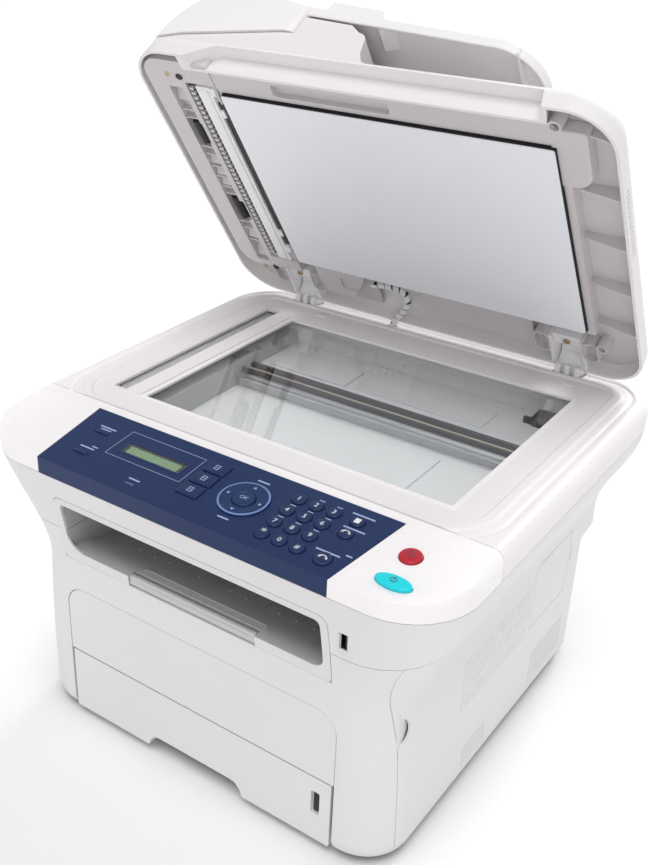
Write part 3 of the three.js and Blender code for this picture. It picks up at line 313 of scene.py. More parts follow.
BRASS = Finish("brass_screw", "steel", (0.50, 0.41, 0.28), 0.30, grain=0.35, depth=0.1, metallic=1.0)
HINGE_WHITE = Finish("hinge_white", "hinge_plastic", (0.84, 0.84, 0.86), 0.28, grain=0.8, depth=0.08)
WRAP_WHITE = Finish("spiral_wrap", "harness_wrap", (0.78, 0.78, 0.80), 0.30, grain=0.5, depth=0.06)
WELL_LIGHT = Finish("scanner_well", "shell_plastic", (0.589, 0.589, 0.6), 0.45, grain=1.2)
# Painted shade: the well's grey darkened for the ledge at its left and the sheet under the narrow pane, where
# the well lies in shade.
WELL_PAINTED_SHADE = Finish("scanner_well_painted_shade", "shell_plastic", (0.36, 0.36, 0.36), 0.5, grain=1.2)
# Painted light: the blank display glass is given a faint glow of its own green.
LCD_GREEN = Finish("lcd_green", "display", (0.165, 0.235, 0.135), 0.22, grain=0.3, depth=0.02, glow=0.10)
AMBER = Finish("status_lamp", "nav_plastic", (0.10, 0.12, 0.22), 0.25, grain=0.3, depth=0.02)
PAPER = Finish("floor_paper", "shell_plastic", (0.87, 0.87, 0.87), 0.9, grain=3.0, depth=0.05, shade=0.01)
GLASS = ClearFinish("platen_clear", "glass", (0.985, 0.995, 0.992))
WINDOW = ClearFinish("display_window", "display", (0.90, 0.96, 0.93), 0.03)


# ---------------------------------------------------------------- drawing and meshes
@dataclass
class Drawing:
    """Turns drawing coordinates in millimetres into the frame's coordinates in metres.

    shift_y is the frame's place of the drawing's Y 0. A lid drawing is turned up about the hinge line by
    tilt radians, and a console drawing is laid on the console's slope, whose back edge is at base.
    """

    shift_y: float
    tilt: float = 0.0
    slope: float = 0.0
    base: tuple[float, float, float] = (0.0, 0.0, 0.0)

    def matrix(self) -> Matrix:
        """Returns the matrix from drawing millimetres to frame metres."""
        sloped = Matrix.Translation(self.base) @ Matrix.Rotation(self.slope, 4, "X")
        hinge = Vector((0.0, *HINGE_AXIS))
        lifted = Matrix.Translation(hinge) @ Matrix.Rotation(-self.tilt, 4, "X") @ Matrix.Translation(-hinge)
        return Matrix.Scale(MM, 4) @ Matrix.Translation((0.0, self.shift_y, 0.0)) @ lifted @ sloped

    def place(self, points: Points) -> Points:
        """Returns the points, an N by 3 array in millimetres, in the frame's metres."""
        matrix = np.array(self.matrix())
        return np.asarray(points, float) @ matrix[:3, :3].T + matrix[:3, 3]


def linked(name: str, data) -> Item:
    """Makes an object of a mesh, a lamp or the like and links it to the scene."""
    made = bpy.data.objects.new(name, data)
    bpy.context.scene.collection.objects.link(made)
    return made


def final_mesh(item: Item) -> bpy.types.Mesh:
    """The mesh of an object with its modifiers, or its text, worked out."""
    graph = bpy.context.evaluated_depsgraph_get()
    graph.update()
    return bpy.data.meshes.new_from_object(item.evaluated_get(graph))


def new_object(name: str, points: Points, faces: list) -> Item:
    """Makes a mesh object from points and faces."""
    mesh = bpy.data.meshes.new(name)
    mesh.from_pydata(np.asarray(points, float).tolist(), [], [list(map(int, face)) for face in faces])
    mesh.update()
    return linked(name, mesh)


def grid_faces(rows: int, columns: int, closed: bool) -> np.ndarray:
    """Quads between the points of a grid stored row by row; closed joins the last column to the first."""
    step = np.arange(columns if closed else columns - 1)
    start = np.arange(rows - 1)[:, None] * columns
    first, right = start + step, start + (step + 1) % columns
    return np.stack([first, right, right + columns, first + columns], -1).reshape(-1, 4)


def capped(rings) -> Item:
    """A closed skin through a stack of rings, each an array of points by 3, with both ends capped.

    The first ring's turning direction is set by the sign of its area seen from the last one, so that the
    faces always point outwards.
    """
    rings = np.stack(rings)
    rows, columns = rings.shape[:2]
    area = np.cross(rings[0] - rings[0][0], np.roll(rings[0], -1, 0) - rings[0][0]).sum(0)
    if float(area @ (rings[-1].mean(0) - rings[0].mean(0))) < 0:
        rings = rings[:, ::-1]
    faces = grid_faces(rows, columns, True).tolist()
    faces.append(list(range(columns - 1, -1, -1)))
    faces.append(list(range((rows - 1) * columns, rows * columns)))
    return new_object("surface", rings.reshape(-1, 3), faces)


def rounded(a0: float, a1: float, b0: float, b1: float, radii, steps: int = 8) -> Points:
    """A rectangle with round corners: each corner is a quarter circle from the low-low one, anticlockwise.

    Args:
        a0, a1: low and high side along the first axis.
        b0, b1: low and high side along the second axis.
        radii: one radius, or four.
        steps: points in each quarter circle, less one.

    Returns:
        The outline's points, N by 2.
    """
    four = [float(radii)] * 4 if np.isscalar(radii) else [float(r) for r in radii]
    centres = [(a0 + four[0], b0 + four[0]), (a1 - four[1], b0 + four[1]),
               (a1 - four[2], b1 - four[2]), (a0 + four[3], b1 - four[3])]
    turn = np.linspace(0.0, math.pi / 2, steps + 1)
    arcs = []
    for (ca, cb), radius, start in zip(centres, four, (math.pi, 1.5 * math.pi, 0.0, 0.5 * math.pi)):
        angle = start + (turn if radius > 0 else turn[:1])
        arcs.append(np.stack([ca + radius * np.cos(angle), cb + radius * np.sin(angle)], -1))
    return np.concatenate(arcs)


def ellipse(a: float, b: float, ra: float, rb: float, steps: int = 48) -> Points:
    """An ellipse about (a, b): the cosine and sine of equal steps, times its two radii."""
    angle = np.linspace(0.0, 2 * math.pi, steps, endpoint=False)
    return np.stack([a + ra * np.cos(angle), b + rb * np.sin(angle)], -1)


def lifted(outline: Points, axis: str, level: float) -> Points:
    """Stands a flat outline at a level of one axis: X holds (Y, Z), Y holds (X, Z), Z holds (X, Y)."""
    flat = np.asarray(outline, float)
    depth = np.full(len(flat), float(level))
    columns = {"X": (depth, flat[:, 0], flat[:, 1]), "Y": (flat[:, 0], depth, flat[:, 1]),
               "Z": (flat[:, 0], flat[:, 1], depth)}[axis]
    return np.stack(columns, -1)


def prism(outline, axis: str, low: float, high: float) -> Item:
    """A straight bar: one outline carried along an axis from low to high."""
    return capped([lifted(outline, axis, level) for level in (low, high)])


def block(x0: float, x1: float, y0: float, y1: float, z0: float, z1: float) -> Item:
    """A box between two corners."""
    return prism([(x0, y0), (x1, y0), (x1, y1), (x0, y1)], "Z", z0, z1)


def slab(a0: float, a1: float, b0: float, b1: float, radii, steps: int, low: float,
         high: float) -> Item:
    """A flat plate with round corners: a rounded rectangle in X and Y, carried from low to high."""
    return prism(rounded(a0, a1, b0, b1, radii, steps), "Z", low, high)


def disc(x: float, y: float, radius: float, steps: int, low: float, high: float) -> Item:
    """An upright round bar about (x, y)."""
    return prism(ellipse(x, y, radius, radius, steps), "Z", low, high)


def cross_head(x: float, y: float, radius: float, levels: tuple[float, float], slot: float,
               half: float) -> Item:
    """A pan-head screw seen from below, with a cross recess of two slots.

    Args:
        x, y: the screw's middle.
        radius: the head's radius.
        levels: the head's lower and upper face.
        slot: half the length of a slot.
        half: half its width.

    Returns:
        The head.
    """
    low, high = levels
    slots = [block(x - a, x + a, y - b, y + b, low - 1, low + 0.9) for a, b in ((slot, half), (half, slot))]
    return carve(disc(x, y, radius, 28, low, high), slots)


def pillow(outline: Points, low: float, high: float, round_off: float, dome: float = 0.0) -> Item:
    """A key or plate along Z whose top edge is a quarter round and whose top swells by dome.

    Rings are the outline scaled about its middle: the quarter round's inset is round_off times one minus
    the cosine of its angle, and past it the rings close in on the middle while the height grows by dome
    times one minus the square of their share of the radius.
    """
    flat = np.asarray(outline, float)
    middle = (flat.min(0) + flat.max(0)) / 2
    reach = float((flat.max(0) - flat.min(0)).min()) / 2
    rings = [lifted(flat, "Z", low), lifted(flat, "Z", high - round_off)]
    for angle in np.linspace(0.0, math.pi / 2, 6)[1:]:
        share = 1 - round_off * (1 - math.cos(angle)) / reach
        rings.append(lifted(middle + (flat - middle) * share, "Z", high - round_off * (1 - math.sin(angle))))
    edge = 1 - round_off / reach
    for share in np.linspace(1.0, 0.08, 7)[1:]:
        height = high + dome * (1 - share**2)
        rings.append(lifted(middle + (flat - middle) * edge * share, "Z", height))
    return capped(rings)


def tube(path: Points, radius, sides: int = 12) -> Item:
    """A round bar along a path: a circle square to the path's direction at each of its points."""
    line = np.asarray(path, float)
    ahead = np.gradient(line, axis=0)
    ahead /= np.linalg.norm(ahead, axis=1, keepdims=True)
    helper = np.array([1.0, 0.0, 0.0]) if abs(ahead[0][0]) < 0.9 else np.array([0.0, 1.0, 0.0])
    across = np.cross(ahead, helper)
    across /= np.linalg.norm(across, axis=1, keepdims=True)
    other = np.cross(ahead, across)
    angle = np.linspace(0.0, 2 * math.pi, sides, endpoint=False)
    wide = np.broadcast_to(np.asarray(radius, float), (len(line),))[:, None, None]
    ring = across[:, None] * np.cos(angle)[None, :, None] + other[:, None] * np.sin(angle)[None, :, None]
    return capped(line[:, None] + wide * ring)


def smooth_path(points: Points, steps: int) -> Points:
    """A smooth curve through given points: a Catmull-Rom spline at equal steps of its parameter."""
    knots = np.asarray(points, float)
    padded = np.vstack([2 * knots[0] - knots[1], knots, 2 * knots[-1] - knots[-2]])
    where = np.linspace(0.0, len(knots) - 1 - 1e-9, steps)
    index = where.astype(int)
    t = (where - index)[:, None]
    a, b, c, d = (padded[index + k] for k in range(4))
    return 0.5 * (2 * b + (c - a) * t + (2 * a - 5 * b + 4 * c - d) * t**2 + (3 * b - a - 3 * c + d) * t**3)


def carve(target: Item, cutters: list[Item], operation: str = "DIFFERENCE"):
    """Cuts, joins or keeps what is common between a closed mesh and others, which are then removed.

    Args:
        target: the mesh that is changed.
        cutters: closed meshes, used one after another.
        operation: DIFFERENCE, UNION or INTERSECT.

    Returns:
        The target.
    """
    for cutter in cutters:
        modifier = target.modifiers.new("carve", "BOOLEAN")
        modifier.object = cutter
        modifier.operation = operation
        modifier.solver = "MANIFOLD"
    made = final_mesh(target)
    target.modifiers.clear()
    old, target.data = target.data, made
    bpy.data.meshes.remove(old)
    for cutter in cutters:
        bpy.data.objects.remove(cutter)
    return target


def joined(*objects: Item) -> Item:
    """Puts several meshes into one object without cutting them; the first one is kept."""
    first = objects[0]
    points, faces, start = [], [], 0
    for item in objects:
        mesh = item.data
        co = np.empty(len(mesh.vertices) * 3)
        mesh.vertices.foreach_get("co", co)
        points.append(co.reshape(-1, 3))
        faces.extend([[v + start for v in face.vertices] for face in mesh.polygons])
        start += len(mesh.vertices)
    mesh = bpy.data.meshes.new(first.name)
    mesh.from_pydata(np.concatenate(points).tolist(), [], faces)
    first.data = mesh
    for item in objects[1:]:
        bpy.data.objects.remove(item)
    return first


def lettering(text: str, x: float, y: float, level: float, size: float) -> Item:
    """Flat raised characters about (x, y), made a mesh; used for digits and signs only."""
    curve = bpy.data.curves.new("sign", "FONT")
    curve.body = text
    curve.size = size
    curve.align_x = curve.align_y = "CENTER"
    curve.extrude = 0.08
    curve.resolution_u = 4
    holder = linked("sign", curve)
    mesh = final_mesh(holder)
    mesh.transform(Matrix.Translation((x, y, level)))
    bpy.data.objects.remove(holder)
    return linked("sign", mesh)


@dataclass
class Maker:
    """Dresses drawn pieces and puts them on their bodies."""

    drawing: Drawing
    body: Body
    frame: dict

    def finish(self, item: Item, name: str, finish, replaces: tuple[str, ...] = (),
               soft_angle: float = 32.0, edge: float = 0.35, body: Body | str | None = None,
               blend: tuple | None = None) -> Item:
        """Turns a drawn mesh into a placed, dressed piece.

        Args:
            item: the mesh, in drawing millimetres.
            name: the piece's name.
            finish: its Finish or ClearFinish.
            replaces: the frame's nodes that it stands for.
            soft_angle: edges flatter than this, in degrees, are shaded smooth.
            edge: width of the rounded edges in millimetres, or 0 for none.
            body: the body it rides on, when it isn't the maker's own.
            blend: for a piece that bends, the other body and the start and end of the bend in metres; when
                given, the piece keeps its place baked in and rides on no body, and these values are not used.

        Returns:
            The piece.
        """
        item.name = name
        item.data.name = name
        item.data.transform(self.drawing.matrix())
        item.data.validate()
        item.data.shade_smooth()
        item.data.set_sharp_from_angle(angle=math.radians(soft_angle))
        item.data.materials.clear()
        item.data.materials.append(finish.material())
        if edge:
            bevel = item.modifiers.new("rounded_edges", "BEVEL")
            bevel.width = edge * MM
            bevel.segments = 2
            bevel.limit_method = "ANGLE"
            bevel.angle_limit = math.radians(soft_angle + 8)
            bevel.use_clamp_overlap = True
            bevel.harden_normals = True
        rider = body or self.body
        rider = rider.value if isinstance(rider, Body) else rider
        if blend:
            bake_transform(item)
        else:
            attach(item, rider)
        if replaces:
            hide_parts(*replaces)
        LOG.info("%s: %d faces on %s", name, len(item.data.polygons), rider)
        return item

    def remake(self, node: str, finish, edge: float = 0.5, body: Body | None = None) -> Item:
        """A merged copy of a plain node with its flat faces whole and its edges rounded."""
        copy = bmesh.new()
        copy.from_mesh(self.frame["nodes"][node].data)
        bmesh.ops.remove_doubles(copy, verts=copy.verts, dist=2e-6)
        bmesh.ops.dissolve_limit(copy, angle_limit=math.radians(1), verts=copy.verts, edges=copy.edges)
        mesh = bpy.data.meshes.new(node + "_piece")
        copy.to_mesh(mesh)
        copy.free()
        mesh.transform(self.drawing.matrix().inverted())
        made = linked(node + "_piece", mesh)
        return self.finish(made, made.name, finish, (node,), edge=edge, body=body)


@dataclass
class Assembly:
    """A sub-assembly whose pieces one maker dresses."""

    maker: Maker

    def add(self, item: Item, name: str, finish, replaces: tuple[str, ...] = (), **ways) -> None:
        """Dresses one piece; ways are the maker's other settings, such as its edge and its body."""
        self.maker.finish(item, name, finish, replaces, **ways)


# ---------------------------------------------------------------- outer skin
def ease(low: float, high: float, value):
    """A soft S from 0 at low to 1 at high: three times t squared less two times t cubed."""
    t = np.clip((np.asarray(value, float) - low) / (high - low), 0.0, 1.0)
    return t * t * (3 - 2 * t)


@dataclass
class Skin:
    """The machine's outer skin: a straight lower body that flares out to a wide deck.

    The half width and the corner radii follow a soft S of the height, the front leans forward as the
    height above the flare to the power 1.5, and the rear steps back below the scanner.
    """

    body_half: float = 187.0
    deck_half: float = 224.0
    body_front: float = -194.0
    deck_front: float = -211.5
    body_rear: float = 170.0
    unit_rear: float = 197.0
    deck_rear: float = 204.0
    base_z: float = 9.0
    step_z: float = 138.0
    step_rise: float = 5.0
    flare_z: float = 160.0
    unit_z: float = 205.0
    trim_z: float = 262.0
    deck_z: float = 287.0
    edge_round: float = 12.0
    edge_pull: float = 9.0

    def front_at(self, z: float) -> float:
        """The front face's Y at a height."""
        t = min(1.0, max(0.0, (z - self.flare_z) / (self.trim_z - self.flare_z)))
        return self.body_front + (self.deck_front - self.body_front) * t**1.5

    def half_at(self, z: float) -> float:
        """The half width at a height."""
        share = float(ease(self.flare_z, self.trim_z + 4, z))
        return self.body_half + (self.deck_half - self.body_half) * share

    def ring(self, z: float, inset: float = 0.0, shift: float = 0.0, steps: int = 18) -> Points:
        """The skin's outline at a height, moved inwards by an inset, as N by 3 points."""
        at = z - shift
        rise = max(0.0, 1 - (self.deck_z - at) / self.edge_round)
        edge = self.edge_pull * (1 - math.sqrt(max(0.0, 1 - rise**2)))
        half = self.half_at(at) - edge - inset
        above = self.unit_rear + (self.deck_rear - self.unit_rear) * float(ease(self.step_z, self.trim_z, at))
        stepped = float(ease(self.step_z, self.step_z + self.step_rise, at))
        rear = self.body_rear + (above - self.body_rear) * stepped - edge - inset
        front = self.front_at(at) + 0.3 * edge + inset
        front_radius = 42.0 + 15.0 * float(ease(60, self.trim_z, at)) - inset
        rear_radius = 18.0 + 30.0 * float(ease(self.step_z, self.trim_z, at)) - inset
        radii = (front_radius, front_radius, rear_radius, rear_radius)
        return lifted(rounded(-half, half, front, rear, radii, steps), "Z", z)

    def solid(self, low: float, high: float, pitch: float, inset: float = 0.0,
              shift: float = 0.0) -> Item:
        """A closed solid inside the skin between two heights, with a ring at every pitch."""
        count = max(2, int(round((high - low) / pitch)) + 1)
        rings = [self.ring(z, inset, shift) for z in np.linspace(low, high, count)]
        return capped(rings)

    def lower(self) -> Item:
        """The lower covers' wall in one piece, from the base to the scanner's seam."""
        heights = [self.base_z, *np.linspace(self.base_z + 3, self.step_z, 24),
                   *np.linspace(self.step_z, self.step_z + self.step_rise, 6)[1:],
                   *np.linspace(self.step_z + self.step_rise, self.unit_z - SEAM / 2, 22)[1:]]
        tuck = [3.0 * (1 - float(ease(self.base_z - 8, self.base_z + 8, z))) * 2 for z in heights]
        outer = capped([self.ring(z, t) for z, t in zip(heights, tuck)])
        inner = capped([self.ring(z, t + WALL, WALL if z > 60 else 0.0) for z, t in
                                 zip([self.base_z - 1, *heights[1:-1], self.unit_z + 2], tuck)])
        return carve(outer, [inner])


@dataclass
class LowerBody(Assembly):
    """Lower covers, paper cassette, manual feed door, feet and the rear side."""

    skin: Skin
    side_seam: float = -168.0
    panel_half: float = 150.0
    cassette_half: float = 138.0
    cassette_top: float = 73.4
    door_half: float = 140.0
    door_bottom: float = 74.6
    door_top: float = 143.4
    door_corner: float = 20.0

    def covers(self) -> None:
        """Front cover, two side covers and the rear cover, cut from one skin at their seams."""
        self.front_cover()
        for side, label in ((-1, "left"), (1, "right")):
            self.side_cover(side, label)
        self.rear_cover()

    def seam_side(self, far: float, gap: float) -> Item:
        """Everything on one side of the side seam, which leans forward as it rises; gap moves it along Y."""
        foot = self.side_seam + gap
        seam = [(foot, 0.0), (foot - 4.0, 120.0), (foot - 15.0, 206.0), (foot - 15.0, FAR)]
        return prism([*seam, (far, FAR), (far, 0.0)], "X", -FAR, FAR)

    def front_cover(self) -> None:
        """Two legs beside the cassette and a bar between the feed door and the bin."""
        shell = carve(self.skin.lower(), [self.seam_side(-FAR, -SEAM / 2)], "INTERSECT")
        half = self.door_half + SEAM
        mouth = prism(rounded(-half, half, -5, self.door_top + SEAM, (0, 0, 20.6, 20.6), 12), "Y",
                      -FAR, self.side_seam + 1)
        room = block(-137.4, 134.4, -FAR, 0, 174.6, FAR)
        dip = block(-64.4, 64.4, -FAR, 0, 174.0, FAR)
        carve(shell, [mouth, room, dip])
        self.add(shell, "front_cover_skin", SHELL, ("front_cover",), edge=0.5, body=Body.FRONT)

    def slits(self, side: int, y0: float, y1: float, z0: float, z1: float, pitch: float,
              lean: float = 0.0, depth: float = 1.4, width: float = 1.5) -> Item:
        """A row of narrow upright slots sunk in a side cover; lean tips them backwards as they rise."""
        centres = np.arange(y0, y1, pitch)
        bars = []
        for y in centres:
            outline = [(y, z0), (y + width, z0), (y + width + lean, z1), (y + lean, z1)]
            inner = side * (self.skin.half_at((z0 + z1) / 2) - depth)
            low, high = sorted((inner, side * FAR * 0.6))
            bars.append(prism(outline, "X", low, high))
        return joined(*bars)

    def side_cover(self, side: int, label: str) -> None:
        """One side cover with its rear corner, vents, board cover line and the grip at the seam."""
        low, high = (-FAR, 0.0) if side < 0 else (0.0, FAR)
        shell = carve(self.skin.lower(), [block(low, high, -FAR, FAR, 0, FAR), self.seam_side(FAR, SEAM / 2)],
                      "INTERSECT")
        dent = [(self.side_seam - 6.5 + 13.0 * math.sin(a) ** 0.8, 134.5 - 14.0 * math.cos(a))
                for a in np.linspace(0, math.pi, 19)]
        cuts = [block(-self.panel_half, self.panel_half, 100, FAR, 0, FAR),
                prism(dent, "X", *sorted((side * 179.5, side * FAR)))]
        cuts.append(self.slits(side, 66, 138, 24, 62, 3.6, depth=0.9, width=1.2))
        cuts.append(self.slits(side, -66, -26, 24, 46, 3.6, depth=0.8, width=1.1))
        if side > 0:
            cuts.append(self.board_line())
            cuts.append(block(185.2, FAR, 131, 133, 126, 143))
            cuts += [self.slits(side, -80, 44, z, z + 16.5, 4.2, depth=0.4, width=1.0)
                     for z in (92, 111, 130)]
        else:
            cuts.append(self.slits(side, -20, 120, 88, 140, 4.4))
        carve(shell, cuts)
        self.add(shell, f"{label}_cover_skin", SHELL, (f"{label}_cover",), edge=0.4)
        cup = block(*sorted((side * 177.0, side * 180.4)), self.side_seam - 5, self.side_seam + 9, 118, 151)
        self.add(cup, f"{label}_grip_cup", SHELL, edge=0.3)

    def board_line(self) -> Item:
        """The thin parting line round the memory board's cover: an outline less its own inset."""
        outer = prism(rounded(50, 128, 96, 163, (1, 1, 2, 12), 8), "X", 186.1, FAR)
        return carve(outer, [prism(rounded(50.7, 127.3, 96.7, 162.3, (1, 1, 2, 11.3), 8), "X", 180, FAR)])

    def rear_cover(self) -> None:
        """Rear cover with its window for the door, the inlet and the switch, and two vents."""
        half = self.panel_half - SEAM
        shell = carve(self.skin.lower(), [block(-half, half, 100, FAR, 0, FAR)], "INTERSECT")
        cuts = [block(-56.6, 120.6, 100, FAR, 33.4, 128.6), block(-136.4, -107.6, 100, FAR, 41.1, 62.9),
                block(-132.4, -111.6, 100, FAR, 74.6, 101.4)]
        rows = [block(x, x + 2.2, 168.8, FAR, 150, 192) for x in np.arange(-120, 118, 5.2)]
        rows += [block(-44 + 22 * k, -26 + 22 * k, 168.6, FAR, 15, 24) for k in range(6)]
        carve(shell, cuts + [joined(*rows)])
        self.add(shell, "rear_cover_skin", SHELL, ("rear_cover",), edge=0.4)

    def rear_pieces(self) -> None:
        """Rear door, mains inlet with its three pins, and the rocker switch."""
        self.maker.remake("rear_door", SHELL, 0.8, body=Body.REAR_DOOR)
        grip = joined(prism(rounded(12, 52, 110, 122, 5, 6), "Y", 169.9, 170.6),
                      *[block(16, 48, 170.5, 171.2, z, z + 1.2) for z in (112.5, 115.4, 118.3)])
        self.add(grip, "rear_door_grip", SHELL, body=Body.REAR_DOOR)
        self.maker.remake("power_inlet", BLACK)
        pins = [block(x - 1.0, x + 1.0, 151.2, 163, 52 + dz - 2.2, 52 + dz + 2.2)
                for x, dz in ((-129.0, 0.0), (-122.0, 3.2), (-115.0, 0.0))]
        self.add(joined(*pins), "inlet_pins", STEEL)
        self.maker.remake("power_switch", BLACK, 0.8, body=Body.SWITCH)
        self.add(block(-122.5, -121.5, 169.0, 171.0, 93.5, 97.5), "switch_mark", PRINT_WHITE,
                 body=Body.SWITCH, edge=0)

    def cassette(self) -> None:
        """Paper cassette: open tray, thick front with the hand recess and the level window."""
        half, top = self.cassette_half, self.cassette_top
        front = prism(rounded(-half, half, 9, top, (1.5, 1.5, 0.6, 0.6), 4), "Y", -194.0, -180.0)
        hand = prism([(-53, 5), (53, 5), (49, 16), (44, 21), (38, 22), (-38, 22), (-44, 21), (-49, 16)], "Y",
                     -197.0, -182.5)
        level = prism(rounded(120, 128, 36, 59.5, 1.6, 5), "Y", -196.0, -191.0)
        carve(front, [hand, level])
        self.add(front, "cassette_front", SHELL, ("paper_cassette",), edge=0.7, body=Body.CASSETTE)
        tray = block(-134, 134, -180.6, 102, 11, 60.4)
        carve(tray, [block(-131.5, 131.5, -178, 99.5, 13.5, 90)])
        self.add(tray, "cassette_tray", CHARCOAL, body=Body.CASSETTE)
        plate = joined(block(-128, 128, -160, 60, 13.7, 15.2), block(-104, -100, -60, 40, 15.2, 40),
                       block(100, 104, -60, 40, 15.2, 40))
        self.add(plate, "paper_lift_plate", STEEL, body=Body.CASSETTE)
        window = prism(rounded(121.6, 126.4, 38, 57.5, 1.2, 4), "Y", -192.4, -191.2)
        self.add(window, "level_window", BLACK, body=Body.CASSETTE, edge=0.2)
        marks = joined(*[prism(ellipse(x, z, 0.8, 0.8, 12), "Y", -194.15, -193.6)
                         for x, z in ((-60, 66), (-57.2, 66), (-54.4, 66))])
        self.add(marks, "cassette_marks", BIN_RING, body=Body.CASSETTE, edge=0)

    def feed_door(self) -> None:
        """Manual feed door: a leaf with round upper corners and a soft edge."""
        leaf = prism(rounded(-self.door_half, self.door_half, self.door_bottom, self.door_top,
                             (0.8, 0.8, self.door_corner, self.door_corner), 14), "Y", -194.0, -190.5)
        self.add(leaf, "feed_door_leaf", SHELL, ("manual_feed_door",), edge=1.0, body=Body.DOOR)
        ribs = [block(x, x + 1.6, -190.7, -186.5, 82, 130) for x in np.linspace(-110, 108, 9)]
        self.add(joined(*ribs), "feed_door_ribs", SHELL, body=Body.DOOR)

    def inside(self) -> None:
        """Chassis, toner cartridge, fuser and pick-up roller, and rubber soles under the feet."""
        self.maker.remake("base_chassis", CHARCOAL)
        self.maker.remake("toner_cartridge", BLACK, 1.0)
        self.maker.remake("fuser_unit", CHARCOAL, 1.0)
        soles = [pillow(ellipse(x, y, 11, 11, 36), 0.0, 2.4, 0.8)
                 for x in (-150.0, 150.0) for y in (-140.0, 120.0)]
        self.add(joined(*soles), "foot_soles", RUBBER, edge=0)
        angle = np.linspace(0, 2 * math.pi, 145)[:-1]
        radius = 6.9 + 0.12 * np.cos(24 * angle)
        outline = np.stack([-116 + radius * np.cos(angle), 70 + radius * np.sin(angle)], -1)
        self.add(prism(outline, "X", -20, 20), "pickup_tyre", RUBBER, ("pickup_roller",),
                 body=Body.PICKUP, edge=0.3)

    def build(self) -> None:
        """Builds and dresses every piece of the lower body."""
        self.covers()
        self.rear_pieces()
        self.cassette()
        self.feed_door()
        self.inside()


